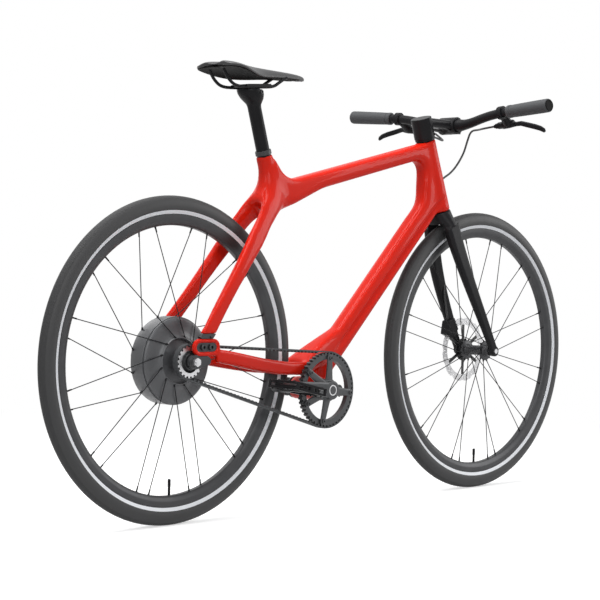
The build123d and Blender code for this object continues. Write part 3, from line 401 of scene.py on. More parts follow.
def socket_screw(name, centre, axis, radius):
    """A screw head with its hexagon recess, standing on a face."""
    head = [(0, 1), (0.62, 1), (0.8, 0.86), (0.8, 0.52), (0.2, 0.5), (0.2, 0)]
    return lathe(name, centre, axis, [(up * radius, out * radius) for up, out in head], sides=24)


graphite = coated("anodised_graphite", (GRAPHITE, GRAPHITE_WORN), (35.0, 4.0), (0.36, 0.12),
                  (900.0, 0.00002), more={"Metallic": 0.7})
dress(graphite, "dropout_left", "dropout_right", "belt_split_band", "crank_bearings")
screws = []
for hand in (LEFT, RIGHT):
    for shift in (-SLOT_SCREW_SHIFT, SLOT_SCREW_SHIFT):
        seat = at(SLOT_MIDDLE.x + shift, hand * SLOT_FACE, SLOT_MIDDLE.z)
        screws.append(socket_screw("slot_screw", seat, (0, hand, 0), SLOT_SCREW))
screws.append(socket_screw("band_screw", BAND_SCREW_SEAT, (0, RIGHT, 0), SMALL_SCREW))
for hand in (LEFT, RIGHT):
    for x, y, z in RACK_INSERTS:
        screws.append(lathe("rack_insert", at(x, hand * y, z), (0, -hand, 0), insert_rows, 24))
put("frame_screws", joined("frame_screws", screws), graphite, "frame", "dark_alloy")


# Seatpost and its cradle are one carbon piece under satin black paint. The clamp plate presses the
# saddle's rails into the cradle with a cross bolt, whose ends show in both cheeks.
SATIN_BLACK = (0.012, 0.012, 0.013, 1.0)
SATIN_SHEEN = (0.022, 0.022, 0.024, 1.0)
POST_RADIUS = 15.2
SEAT_ANGLE = radians(72.8)
CHEEK_BOLT = 4.2
CHEEK_BOLT_SEAT = (222.0, 25.6, 918.0)


def oval(centre, first, second, wide, high, sides=20, power=2.4):
    """A ring between an ellipse, at power 2, and a rectangle. Half sizes in millimetres."""
    points = []
    for k in range(sides):
        turn = 2 * pi * k / sides
        a, b = cos(turn), sin(turn)
        a = abs(a) ** (2 / power) * (1 if a >= 0 else -1)
        b = abs(b) ** (2 / power) * (1 if b >= 0 else -1)
        points.append(centre + (first * wide * a + second * high * b) * MM)
    return points


satin = coated("satin_black_paint", (SATIN_BLACK, SATIN_SHEEN), (18.0, 3.0), (0.26, 0.1),
               (1100.0, 0.00001), more={"Specular IOR Level": 0.08})
forward = Vector((1, 0, 0))
aside = Vector((0, 1, 0))
post_foot = at(262.0, 0.0, 774.0)
seat_up = Vector((-cos(SEAT_ANGLE), 0, sin(SEAT_ANGLE)))
# Post, from the tube to the rails: height up the post, half length, half width, ahead
post_rows = [
    (0.0, POST_RADIUS, POST_RADIUS, 0.0),
    (118.0, POST_RADIUS, POST_RADIUS, 0.0),
    (124.0, 16.4, 16.4, -0.5),
    (130.0, 21.0, 20.0, -1.5),
    (137.0, 26.5, 24.0, -2.5),
    (146.0, 30.5, 26.6, -3.0),
    (154.0, 31.5, 27.0, -3.0),
    (157.0, 30.0, 25.6, -3.0),
]
post_rings = []
for up_post, half_length, half_width, ahead in post_rows:
    middle = post_foot + seat_up * up_post * MM + forward * ahead * MM
    post_rings.append(oval(middle, forward, aside, half_length, half_width, 40, power=2.0))
post_mesh = loft("seatpost_mesh", post_rings, angle=60.0)
put("seatpost_head", post_mesh, satin, "frame", "satin_black", "seatpost")
collar_low, collar_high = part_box("seat_collar")
collar_middle = (collar_low + collar_high) / 2
collar_rows = [(-5.2, 15.4), (-5.2, 17.2), (-4.6, 17.8), (4.4, 17.8), (5.0, 17.2), (5.0, 15.4)]
collar_seat = collar_middle + Vector((-12.4, -12.4, 0)) * MM
collar_mesh = joined("seat_collar_ring", [
    lathe("collar", collar_middle, seat_up, collar_rows, 64, True),
    socket_screw("collar_screw", collar_seat, (-0.7, -0.7, 0), SMALL_SCREW),
])
put("seat_collar_ring", collar_mesh, graphite, "frame", "dark_alloy", "seat_collar")
dress(satin, "saddle_clamp")
cheeks = []
for hand in (LEFT, RIGHT):
    x, y, z = CHEEK_BOLT_SEAT
    cheeks.append(socket_screw("cheek_bolt", at(x, hand * y, z), (0, hand, 0), CHEEK_BOLT))
put("saddle_bolts", joined("saddle_bolts", cheeks), graphite, "frame", "dark_alloy")


# Saddle: foam under a matt cover on a black plastic shell, with a split tail and dropping wings.
# Cover and shell follow one surface, the cover crowned and the shell hugging it from below. Two
# rails spring from the shell and lie in the post's cradle.
COVER_BLACK = (0.010, 0.010, 0.011, 1.0)
COVER_GREY = (0.019, 0.019, 0.020, 1.0)
SADDLE_TAIL = -90.0
SEAT_POINT = at(190.0, 0.0, 972.0)
# Along the saddle: ahead of the seat point, half width, height of the middle, drop of the sides
saddle_rows = [
    (-89.0, 40.0, 2.6, 8.0),
    (-84.0, 56.0, 4.0, 9.0),
    (-72.0, 65.5, 4.7, 11.0),
    (-48.0, 68.5, 3.8, 14.0),
    (-20.0, 60.0, 2.0, 19.0),
    (10.0, 47.0, 0.4, 21.0),
    (45.0, 33.0, -0.6, 18.0),
    (90.0, 24.5, -1.4, 12.0),
    (140.0, 21.0, -2.6, 9.0),
    (168.0, 17.0, -4.6, 7.0),
    (180.0, 11.0, -7.0, 5.0),
    (184.5, 4.0, -9.4, 2.0),
]
SPLIT_DEPTH = 30.0
SPLIT_HALF = 20.0
SPLIT_LENGTH = 55.0
WING_CURVE = 2.6
EDGE_THINNING = 0.45
SHELL_END = 176.0
# Rails, from tail to nose: ahead of the seat point and above it
rail_line = [
    (-76.0, -14.0), (-70.0, -26.0), (-52.0, -42.0), (-34.0, -47.0), (-8.0, -46.0), (52.0, -42.0),
    (76.0, -38.0), (92.0, -27.0), (112.0, -16.0),
]
RAIL_HALF_GAP = 22.0
RAIL_RADIUS = 3.5
# Black plastic, darkened below its own tone as painted shade for the hollow underside of the saddle
# shell.
PLASTIC_BLACK_AND_PAINTED_SHADE = (0.004, 0.004, 0.004, 1.0)
PLASTIC_WORN = (0.008, 0.008, 0.008, 1.0)


def route(points, steps=12):
    """Points along one smooth curve that follows a short list of control points."""
    curve = bpy.data.curves.new("route", "CURVE")
    curve.dimensions = "3D"
    curve.resolution_u = steps
    spline = curve.splines.new("NURBS")
    spline.points.add(len(points) - 1)
    for control, point in zip(spline.points, points):
        control.co = (*point, 1.0)
    spline.order_u = 3
    spline.use_endpoint_u = True
    holder = bpy.data.objects.new("route", curve)
    line = bpy.data.meshes.new_from_object(holder)
    places = [vertex.co.copy() for vertex in line.vertices]
    bpy.data.objects.remove(holder)
    bpy.data.curves.remove(curve)
    bpy.data.meshes.remove(line)
    return places


def tube(name, path, radii, sides=16, angle=50.0):
    """A round skin along a path. The radii, in millimetres, are spread evenly over its length."""
    last = len(path) - 1
    tangents = [(path[min(k + 1, last)] - path[max(k - 1, 0)]).normalized()
                for k in range(len(path))]
    first = tangents[0].orthogonal().normalized()
    rings = []
    for k, (place, tangent) in enumerate(zip(path, tangents)):
        first = (first - tangent * first.dot(tangent)).normalized()
        share = k / last * (len(radii) - 1)
        low = min(int(share), len(radii) - 2)
        radius = radii[low] + (radii[low + 1] - radii[low]) * (share - low)
        rings.append(circle(place, first, tangent.cross(first), radius, sides))
    return loft(name, rings, angle=angle)


def cells(field, scale):
    """How far a place is from the edge of its cell, in a fine net of cells."""
    net = {"Vector": here(field), "Scale": scale}
    return field.node("TexVoronoi", {"feature": "DISTANCE_TO_EDGE"}, net)


def saddle_skin(field):
    pebble = cells(field, 700.0)
    cloud = noise(field, 30.0)
    return {
        "Base Color": between(field, cloud, COVER_BLACK, COVER_GREY),
        "Roughness": 0.42 + 0.1 * cloud,
        "Normal": relief(field, pebble, 0.00015, 0.35),
    }


def saddle_ring(row, over, under, inset, sides=40):
    """One cross section: over the top from left to right, and back underneath.

    Over and under are the depths of its top and its underside below the saddle's surface.
    """
    x, half, height, drop = row
    half -= inset
    points = []
    for k in range(sides):
        turn = 2 * pi * k / sides
        v = cos(turn)
        y = half * v
        side_fall = drop * abs(v) ** WING_CURVE
        z = height - side_fall - (over if sin(turn) >= 0 else under) * (1 - EDGE_THINNING * v * v)
        split = max(0.0, 1 - (y / SPLIT_HALF) ** 2)
        split *= max(0.0, 1 - (x - SADDLE_TAIL) / SPLIT_LENGTH)
        points.append(SEAT_POINT + Vector((x + SPLIT_DEPTH * split, y, z)) * MM)
    return points


def rounded(piece, levels):
    """Rounds a piece over by subdivision."""
    rounding = piece.modifiers.new("rounded", "SUBSURF")
    rounding.levels = levels
    rounding.render_levels = levels


plastic = coated("moulded_plastic_and_painted_shade", (PLASTIC_BLACK_AND_PAINTED_SHADE, PLASTIC_WORN), (40.0, 3.0), (0.5, 0.12),
                 (1000.0, 0.00002), by_grain=False, more={"Specular IOR Level": 0.06})
cover = finish("saddle_cover", saddle_skin)
cover_rings = [saddle_ring(row, 0.0, 9.0, 0.0) for row in saddle_rows]
cover_mesh = loft("saddle_cover_mesh", cover_rings, angle=70.0)
pad = put("saddle_cover", cover_mesh, cover, "frame", "saddle_cover", "saddle_pad")
rounded(pad, 2)
shell_rings = [saddle_ring(row, 8.0, 12.5, 1.6) for row in saddle_rows if row[0] < SHELL_END]
shell_mesh = loft("saddle_shell_mesh", shell_rings, angle=70.0)
# The shell's plastic is darker than its own tone: painted shade under the saddle.
shell = put("saddle_base", shell_mesh, plastic, "frame", "black_plastic", "saddle_shell")
rounded(shell, 1)
rails = []
for hand in (LEFT, RIGHT):
    rail_points = [SEAT_POINT + Vector((x, hand * RAIL_HALF_GAP, z)) * MM for x, z in rail_line]
    rails.append(tube("rail", route(rail_points), [RAIL_RADIUS, RAIL_RADIUS], sides=18))
rail_mesh = joined("saddle_rail_pair", rails)
put("saddle_rail_pair", rail_mesh, satin, "frame", "satin_black", "saddle_rails")


# Fork: two carbon blades that flow from one crown, moulded in one piece and painted satin black.
# It turns in the head tube's bearings, under a cover that closes the gap above the frame.
moulded("fork_blades", ("fork",), satin, "steering", "satin_black", voxel=1.7, fairing=14)
dress(satin, "headset_cover")


# Stem: a short forged column over the steerer with an arm to the bar clamp, painted satin black.
# Four clamp screws are set into its underside.
BAR_MIDDLE = at(896.4, 0.0, 894.1)
CLAMP_SCREW = 3.4
CLAMP_SCREW_ASIDE = 14.0
# Screws of the clamp: ahead of the bar's middle and above it
clamp_seats = [(-20.0, -13.0), (20.0, -16.5)]
moulded("stem_body", ("stem",), satin, "steering", "satin_black", voxel=1.3, fairing=10)
underside = []
for hand in (LEFT, RIGHT):
    for ahead, rise in clamp_seats:
        seat = BAR_MIDDLE + Vector((ahead, hand * CLAMP_SCREW_ASIDE, rise)) * MM
        underside.append(socket_screw("clamp_screw", seat, (0, 0, -1), CLAMP_SCREW))
put("stem_screws", joined("stem_screws", underside), graphite, "steering", "dark_alloy")


# Handlebar: one butted aluminium tube, thick in the clamp, bent up and back to straight ends and
# painted satin black.
# From the middle outwards: sweep back, distance from the middle, rise, radius
bar_rows = [
    (0.0, 0.0, 0.0, 15.9),
    (0.0, 30.0, 0.0, 15.9),
    (0.0, 46.0, 0.6, 12.6),
    (0.0, 70.0, 5.0, 11.3),
    (1.0, 105.0, 15.5, 11.1),
    (3.6, 150.0, 23.4, 11.1),
    (7.6, 205.0, 27.1, 11.1),
    (14.9, 305.0, 33.9, 11.1),
]


def bar_half(hand):
    line = [BAR_MIDDLE + Vector((-back, hand * out, rise)) * MM for back, out, rise, _ in bar_rows]
    rings = []
    for k, (place, row) in enumerate(zip(line, bar_rows)):
        way = (line[min(k + 1, len(line) - 1)] - line[max(k - 1, 0)]).normalized()
        first = (forward - way * way.x).normalized()
        rings.append(circle(place, first, way.cross(first), row[3], 24))
    return loft("bar_half", rings, ends=False, angle=60.0)


bar_mesh = joined("bar_mesh", [bar_half(LEFT), bar_half(RIGHT)])
bar = put("handlebar_tube", bar_mesh, satin, "steering", "satin_black", "handlebar")
rounded(bar, 2)


# Grips are grey-black rubber, moulded with a fine pebble and a rolled collar and pushed onto the
# bar. Black plastic plugs close the ends.
RUBBER = (0.040, 0.042, 0.045, 1.0)
RUBBER_DUSTY = (0.058, 0.061, 0.065, 1.0)
SIDES = (("left", LEFT), ("right", RIGHT))
BAR_TIP = Vector((-15.0, 307.0, 34.0))
BAR_KNEE = Vector((-2.0, 130.0, 22.0))
grip_rows = [
    (124.0, 11.4), (124.0, 14.2), (122.5, 15.4), (115.0, 15.4), (113.5, 14.0), (112.0, 14.0),
    (111.0, 15.0), (84.0, 15.5), (30.0, 16.0), (4.0, 16.0), (1.0, 15.2), (0.2, 13.5), (0.2, 11.4),
]
plug_rows = [(0.6, 13.4), (-0.6, 13.4), (-1.6, 12.6), (-1.6, 11.4), (-0.8, 10.8), (-0.8, 0.0)]


def mirrored(place, hand):
    return Vector((place.x, hand * place.y, place.z))


def bar_end(hand):
    """The bar's tip, and the way inwards along its straight end."""
    tip = mirrored(BAR_TIP, hand)
    return BAR_MIDDLE + tip * MM, (mirrored(BAR_KNEE, hand) - tip).normalized()


rubber = coated("rubber", (RUBBER, RUBBER_DUSTY), (60.0, 4.0), (0.62, 0.15), (900.0, 0.00008, 0.5),
                by_grain=False)
plugs = []
for side, hand in SIDES:
    tip, inward = bar_end(hand)
    grip_mesh = lathe(f"grip_{side}_mesh", tip, inward, grip_rows, sides=48, angle=40.0)
    put(f"grip_{side}_sleeve", grip_mesh, rubber, "steering", "grip_rubber", f"grip_{side}")
    plugs.append(lathe("plug", tip, inward, plug_rows, sides=40))
put("end_plugs", joined("end_plugs", plugs), plastic, "steering", "dark_alloy", "bar_end_plugs")


# Brake levers: a split clamp on the bar, a forged body with its hydraulic cylinder, and a flat
# blade that bends away from the bar and hooks at the tip. All of it is satin black.
LEVER_IN = 146.0
LEVER_PIVOT = Vector((34.0, -6.0, -24.0))
LEVER_END = Vector((34.0, -46.0, -28.0))
PIVOT_SCREW = 3.2
clamp_rows = [(-7, 11.2), (-7, 15), (-6, 16), (6, 16), (7, 15), (7, 11.2)]
cylinder_rows = [
    (-18, 6.0), (-15, 9.0), (-4, 10.2), (14, 10.2), (17, 8.8), (28, 8.2), (30, 6.4), (36, 6.4),
    (36.5, 4.6), (41, 4.4),
]
# Neck, from the clamp to the pivot: share of the way, half width, half height
neck_rows = [
    (0.28, 12.0, 8.0), (0.55, 11.0, 8.0), (0.8, 12.5, 9.0), (1.0, 14.0, 10.5), (1.16, 11.0, 8.0),
]
# Blade, from its pivot: ahead, outwards, up, half width, half thickness
blade_rows = [
    (0.0, -6.0, 0.0, 8.0, 7.0),
    (3.0, 10.0, -1.0, 7.0, 6.0),
    (7.0, 20.0, 0.0, 5.5, 5.0),
    (9.0, 32.0, 1.0, 6.0, 4.6),
    (8.0, 54.0, -4.0, 6.4, 4.2),
    (5.0, 76.0, -9.0, 6.4, 4.2),
    (4.0, 92.0, -13.5, 6.0, 4.2),
    (4.5, 101.0, -18.0, 5.2, 4.0),
    (5.0, 104.5, -22.0, 3.0, 2.6),
]


def lever_perch(hand):
    """Middle of a lever's clamp on the bar, and the way inwards along the bar."""
    tip, inward = bar_end(hand)
    return tip + inward * LEVER_IN * MM, inward


def lever_blade(pivot, hand):
    rings = []
    for k, (ahead, out, rise, wide, thick) in enumerate(blade_rows):
        near = blade_rows[max(k - 1, 0)]
        far = blade_rows[min(k + 1, len(blade_rows) - 1)]
        way = mirrored(Vector(far[:3]) - Vector(near[:3]), hand).normalized()
        upright = (Vector((0, 0, 1)) - way * way.z).normalized()
        place = pivot + Vector((ahead, hand * out, rise)) * MM
        rings.append(oval(place, upright, way.cross(upright), wide, thick, sides=16))
    return loft("blade", rings, angle=60.0)


for side, hand in SIDES:
    perch, inward = lever_perch(hand)
    pivot = perch + mirrored(LEVER_PIVOT, hand) * MM
    cylinder_way = mirrored(LEVER_END - LEVER_PIVOT, hand).normalized()
    neck_up = (pivot - perch).normalized().cross(aside).normalized()
    neck = [oval(perch.lerp(pivot, share), aside, neck_up, wide, high)
            for share, wide, high in neck_rows]
    pivot_seat = pivot + Vector((2, hand * 2, 8.6)) * MM
    bolt_seat = perch + Vector((-12, 0, -11)) * MM
    lever_mesh = joined(f"lever_{side}_mesh", [
        lathe("clamp", perch, inward, clamp_rows, sides=40),
        loft("neck", neck),
        lathe("cylinder", pivot, cylinder_way, cylinder_rows, sides=28),
        lever_blade(pivot, hand),
        socket_screw("pivot_screw", pivot_seat, (0, 0, 1), PIVOT_SCREW),
        socket_screw("clamp_bolt", bolt_seat, (-0.7, 0, -0.7), SMALL_SCREW),
    ])
    put(f"lever_{side}", lever_mesh, satin, "steering", "satin_black", f"brake_lever_{side}")


# Brake hoses: black rubber hose. The rear one loops from the right lever into the head tube. The
# front one goes in under the stem and comes out of the left blade.
HOSE_RADIUS = 2.5
HOSE_LEAD = 36.0 * MM


def hose_start(hand):
    """Where a hose leaves its lever, and which way."""
    perch = lever_perch(hand)[0]
    way = mirrored(LEVER_END - LEVER_PIVOT, hand).normalized()
    return perch + mirrored(LEVER_END, hand) * MM, way


def hose(name, points):
    return tube(name, route(points), [HOSE_RADIUS, HOSE_RADIUS], sides=14)


hose_skin = coated("hose_rubber", (COVER_BLACK, COVER_GREY), (90.0, 3.0), (0.4, 0.15),
                   (1200.0, 0.00004, 0.4), by_grain=False)
right_start, right_way = hose_start(RIGHT)
head_front = at(859.0, 0.0, 742.0)
loop_points = [
    right_start,
    right_start + right_way * HOSE_LEAD,
    BAR_MIDDLE + Vector((50, -50, -8)) * MM,
    BAR_MIDDLE + Vector((60, -18, -8)) * MM,
    BAR_MIDDLE + Vector((64, -4, -34)) * MM,
    BAR_MIDDLE + Vector((52, -2, -68)) * MM,
    BAR_MIDDLE + Vector((14, 0, -112)) * MM,
    head_front + steer_front * 0.008 + steer_up * 0.016,
    head_front - steer_front * 0.002,
]
loop_mesh = hose("rear_hose_mesh", loop_points)
loop_mesh.materials.append(hose_skin)
loop = placed("rear_hose", loop_mesh)
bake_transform(loop)
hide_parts("rear_brake_hose")

left_start, left_way = hose_start(LEFT)
under_stem = [
    left_start,
    left_start + left_way * HOSE_LEAD,
    BAR_MIDDLE + Vector((30, 52, -26)) * MM,
    BAR_MIDDLE + Vector((8, 24, -36)) * MM,
    at(840.0, 8.0, 866.0),
    at(829.0, 3.0, 861.5),
]
blade_exit = front_axle + Vector((-80, 41, 166)) * MM
caliper_inlet = front_axle + Vector((-62, 42, 76)) * MM
beside_blade = [
    blade_exit + Vector((4, 8, 8)) * MM,
    blade_exit,
    blade_exit + Vector((-4, -3, -26)) * MM,
    caliper_inlet + Vector((-10, -1, 34)) * MM,
    caliper_inlet + Vector((-4, 0, 12)) * MM,
    caliper_inlet,
]
front_mesh = joined("front_hose", [hose("upper", under_stem), hose("lower", beside_blade)])
put("front_hose", front_mesh, hose_skin, "steering", "hose_black", "front_brake_hose")


# Tyres: black rubber with a fine file tread on the crown, and a pale reflecting stripe that is
# vulcanised into each sidewall just above the rim. Their beads hook into the rims.
TYRE_BASE = 304.3
TYRE_WIDEST = 321.0
TYRE_RADIUS = 342.9
TYRE_HALF = 15.9
BEAD_HALF = 11.2
STRIPE_LOW = 305.0
STRIPE_HIGH = 312.4
STRIPE_RISE = 0.25
STRIPE_SINK = 0.4
FLANK_RADII = (TYRE_BASE, 307.5, 311.0, 314.5, 318.0)
ROUND_STEPS = 160
TREAD_HALF = 0.0115
STRIPE_PALE = (0.94, 0.96, 1.0, 1.0)
STRIPE_GREY = (0.88, 0.90, 0.94, 1.0)
TYRE_BLACK = (0.012, 0.012, 0.013, 1.0)
TYRE_DUSTY = (0.024, 0.024, 0.025, 1.0)


def tyre_skin(field):
    dust = noise(field, 45.0, 4.0)
    y = field.node("SeparateXYZ", links={"Vector": here(field)}, out="Y")
    crown = field.math("LESS_THAN", field.math("ABSOLUTE", y), TREAD_HALF)
    return {
        "Base Color": between(field, dust, TYRE_BLACK, TYRE_DUSTY),
        "Roughness": 0.5 + 0.12 * dust + 0.14 * crown,
        "Normal": relief(field, cells(field, 230.0) * crown, 0.0012, 0.8),
    }


def flank(radius):
    """Half width of the tyre at a radius below its widest place."""
    share = (radius - TYRE_BASE) / (TYRE_WIDEST - TYRE_BASE)
    return BEAD_HALF + (TYRE_HALF - BEAD_HALF) * sin(pi / 2 * share)


def tyre_profile():
    half = [(flank(radius), radius) for radius in FLANK_RADII]
    crown_height = TYRE_RADIUS - TYRE_WIDEST
    for turn in (radians(k * 7.5) for k in range(13)):
        half.append((TYRE_HALF * cos(turn), TYRE_WIDEST + crown_height * sin(turn)))
    return half + [(-y, radius) for y, radius in reversed(half[:-1])]


def stripe_mesh(axle, hand):
    radii = [STRIPE_LOW + (STRIPE_HIGH - STRIPE_LOW) * k / 4 for k in range(5)]
    low, high = [(flank(radius) - STRIPE_SINK, radius) for radius in (radii[0], radii[-1])]
    face = [(flank(radius) + STRIPE_RISE, radius) for radius in radii]
    return lathe("stripe", axle, (0, hand, 0), [low, *face, high], ROUND_STEPS, True)


tyre_rubber = finish("tyre_rubber", tyre_skin)
tape = coated("reflecting_stripe", (STRIPE_PALE, STRIPE_GREY), (50.0, 2.0), (0.35, 0.15),
              (800.0, 0.00003))
WHEELS = (("front", front_axle), ("rear", rear_axle))
for name, axle in WHEELS:
    wheel = f"{name}_wheel"
    tyre_mesh = lathe(f"{name}_tyre_mesh", axle, aside, tyre_profile(), ROUND_STEPS, True, 60.0)
    put(f"{name}_tyre_skin", tyre_mesh, tyre_rubber, wheel, "tyre_black", f"{name}_tyre")
    stripes = [stripe_mesh(axle, hand) for hand in (LEFT, RIGHT)]
    put(f"{name}_stripes", joined(f"{name}_stripe_mesh", stripes), tape, wheel, "tyre_black")


# Rims: extruded box-section aluminium hoops, anodised dark. Thin black spokes run in crossing
# pairs into nipples on the rim's nose, and a brass valve under black paint stands at the bottom.
RIM_INNER = 281.0
VALVE_FOOT = 285.0
NIPPLE_ASIDE = 3.0
NIPPLE_SINK = 1.5
rim_half = [
    (12.0, 304.0), (12.0, 293.4), (11.4, 291.4), (9.2, 286.2), (7.0, 282.4), (5.2, 281.2),
    (2.6, RIM_INNER),
]
rim_profile = rim_half + [(-y, radius) for y, radius in reversed(rim_half)]
nipple_rows = [(0, 2.6), (2.4, 2.4), (3.2, 1.8), (13.0, 1.6)]
spoke_seat_rows = [(-2.0, 2.0), (2.0, 2.0), (4.0, 1.3)]
valve_rows = [
    (0.0, 3.0), (4.0, 3.0), (5.0, 2.8), (22.0, 2.8), (22.6, 3.4), (37.4, 3.2), (38.0, 2.0),
]
# Spokes of each wheel: left flange and right flange as distance from the middle and radius
spoke_table = {
    "front": ((29.0, 24.9), (-29.0, 24.9)),
    "rear": ((18.0, 92.9), (-26.0, 50.9)),
}
SPOKE_PAIRS = 12
SPOKE_SPREAD = 4.0
SPOKE_TRAIL = 26.0


def rim_point(axle, angle, y, radius):
    return axle + Vector((cos(angle) * radius, y, sin(angle) * radius)) * MM


dress(satin, "front_spokes", "rear_spokes")
for name, axle in WHEELS:
    wheel = f"{name}_wheel"
    rim_mesh = lathe(f"{name}_rim_mesh", axle, aside, rim_profile, ROUND_STEPS, True, 28.0)
    put(f"{name}_rim_hoop", rim_mesh, graphite, wheel, "dark_alloy", f"{name}_rim")
    fittings = []
    for pair in range(SPOKE_PAIRS):
        for (flange_y, flange_radius), hand in zip(spoke_table[name], (LEFT, RIGHT)):
            rim_angle = radians((pair + 0.5) * 360 / SPOKE_PAIRS + hand * SPOKE_SPREAD)
            hub_angle = rim_angle + hand * radians(SPOKE_TRAIL)
            outer = rim_point(axle, rim_angle, hand * NIPPLE_ASIDE, RIM_INNER + NIPPLE_SINK)
            inner = rim_point(axle, hub_angle, flange_y, flange_radius)
            way = (inner - outer).normalized()
            fittings.append(lathe("nipple", outer, way, nipple_rows, 10))
            fittings.append(lathe("spoke_seat", inner, -way, spoke_seat_rows, 10))
    valve_seat = axle - Vector((0, 0, VALVE_FOOT)) * MM
    fittings.append(lathe("valve", valve_seat, (0, 0, 1), valve_rows, 20))
    put(f"{name}_nipples", joined(f"{name}_nipples", fittings), satin, wheel, "spoke_black")


# Front hub and motor hub: turned aluminium. The motor's barrel is closed by a right cap, whose
# seam shows as a thin groove, and its middle steps back into a recess behind the rear sprocket.
MOTOR_GREY = (0.080, 0.082, 0.087, 1.0)
MOTOR_PALE = (0.098, 0.100, 0.106, 1.0)
front_hub_profile = [
    (-49.7, 6.4), (-49.7, 9.0), (-46.0, 9.4), (-45.4, 12.4), (-34.0, 13.4), (-31.6, 15.0),
    (-30.6, 23.4), (-30.0, 24.0), (-28.0, 24.0), (-27.4, 23.4), (-25.0, 15.0), (-20.0, 12.4),
    (0.0, 12.0), (20.0, 12.4), (25.0, 15.0), (27.4, 23.4), (28.0, 24.0), (30.0, 24.0),
    (30.6, 23.4), (32.0, 18.0), (34.4, 17.0), (35.0, 19.8), (43.0, 19.8), (43.6, 15.0),
    (45.4, 10.5), (46.0, 9.4), (49.7, 9.0), (49.7, 6.4),
]
motor_profile = [
    (-64.4, 6.5), (-64.4, 11.0), (-58.5, 11.0), (-58.5, 16.8), (-22.5, 17.5), (-20.4, 22.0),
    (-20.0, 45.5), (-26.4, 46.6), (-27.6, 47.4), (-28.0, 48.4), (-27.6, 49.4), (-26.2, 50.2),
    (-23.6, 53.0), (-21.4, 58.0), (-20.0, 66.0), (-19.6, 76.0), (-19.4, 84.0), (-18.6, 87.4),
    (-17.0, 89.4), (-15.4, 90.0), (-15.2, 88.8), (-14.2, 88.8), (-14.0, 91.2), (-13.0, 91.9),
    (-11.0, 92.0), (4.0, 92.0), (20.4, 92.0), (22.8, 91.2), (24.0, 89.0), (24.4, 80.0),
    (27.0, 44.0), (31.0, 30.0), (34.4, 26.4), (46.6, 26.0), (46.8, 20.0), (49.0, 20.0),
    (49.4, 12.0), (64.4, 11.0), (64.4, 6.5),
]
casting = coated("motor_casting", (MOTOR_GREY, MOTOR_PALE), (22.0, 3.0), (0.34, 0.1),
                 (700.0, 0.00002), more={"Metallic": 0.15})
hub_mesh = lathe("front_hub_mesh", front_axle, aside, front_hub_profile, 72, True, 30.0)
put("front_hub_body", hub_mesh, graphite, "front_wheel", "dark_alloy", "front_hub")
motor_mesh = lathe("motor_hub_mesh", rear_axle, aside, motor_profile, 128, True, 30.0)
put("motor_hub_body", motor_mesh, casting, "rear_wheel", "dark_alloy", "motor_hub")


# Brake discs: a drilled steel band with a scalloped edge, riveted to a black star spider that is
# screwed to the hub. Axles and nuts are turned steel.
STEEL_GREY = (0.50, 0.50, 0.51, 1.0)
STEEL_PALE = (0.62, 0.62, 0.63, 1.0)
DISC_BAND = 17.5
# The band's pale steel is brightened past its own tone: a painted reflection of a white surround.
DISC_STEEL_AND_PAINTED_SHINE = (0.72, 0.72, 0.73, 1.0)
disc_table = {"front": (front_axle, 80.0), "rear": (rear_axle, 70.0)}


def brushed_steel(field):
    scratch = noise(field, 260.0, 6.0)
    return {
        "Base Color": between(field, scratch, STEEL_GREY, STEEL_PALE),
        "Metallic": 1.0,
        "Roughness": 0.26 + 0.2 * scratch,
        "Normal": relief(field, scratch, 0.00002),
    }


def disc_finish(axle, outer):
    """Pale steel on the band, brightened past steel's own tone as a painted reflection, and black
    paint on the arms inside it.
    """
    def recipe(field):
        scratch = noise(field, 240.0, 5.0)
        flat = field.node("VectorMath", {"operation": "MULTIPLY"},
                          {0: here(field), 1: (1.0, 0.0, 1.0)})
        reach = field.node("VectorMath", {"operation": "DISTANCE"},
                           {0: flat, 1: (axle.x, 0.0, axle.z)}, out="Value")
        band = field.math("GREATER_THAN", reach, (outer - DISC_BAND) * MM)
        return {
            "Base Color": between(field, band, SATIN_BLACK, DISC_STEEL_AND_PAINTED_SHINE),
            "Metallic": 0.5 * band,
            "Roughness": 0.3 + 0.2 * scratch,
            "Normal": relief(field, scratch, 0.00002),
        }
    return recipe


steel = finish("brushed_steel", brushed_steel)
for name, (axle, outer) in disc_table.items():
    dress(finish(f"{name}_disc_steel_and_painted_shine", disc_finish(axle, outer)), f"{name}_disc")
dress(steel, "front_axle", "motor_axle")


# Calipers: forged aluminium blocks over the discs, painted satin black. The front one is held to
# the left fork blade and the rear one to the left stays, by two screws each.
CALIPER_SCREW = 3.0
CALIPER_SCREW_SINK = 0.6
for name, body in (("front", "steering"), ("rear", "frame")):
    moulded(f"{name}_caliper_body", (f"{name}_caliper",), satin, body, "satin_black",
            voxel=1.1, fairing=8)
    low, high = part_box(f"{name}_caliper")
    seats = []
    for share in (0.28, 0.72):
        seat = Vector((low.x + (high.x - low.x) * share, high.y - CALIPER_SCREW_SINK * MM,
                       low.z + (high.z - low.z) * 0.5))
        seats.append(socket_screw("caliper_screw", seat, (0, LEFT, 0), CALIPER_SCREW))
    screw_name = f"{name}_caliper_screws"
    put(screw_name, joined(screw_name, seats), graphite, body, "dark_alloy")


# Rear sprocket: a steel toothed cog on a dark carrier with fine turned ribs. It runs on the
# motor's one-way clutch, beside the recess in the motor's cap.
carrier_profile = [
    (57.6, 23.2), (58.8, 22.6), (57.4, 21.8), (59.4, 21.0), (57.8, 20.2), (60.2, 19.2),
    (58.6, 18.4), (61.2, 17.4), (61.6, 15.0), (61.6, 11.6), (55.0, 11.6), (55.0, 23.2),
]
dress(steel, "rear_sprocket")
carrier = lathe("carrier_mesh", rear_axle, (0, RIGHT, 0), carrier_profile, 64, True, 20.0)
put("sprocket_carrier", carrier, graphite, "rear_sprocket", "dark_alloy")


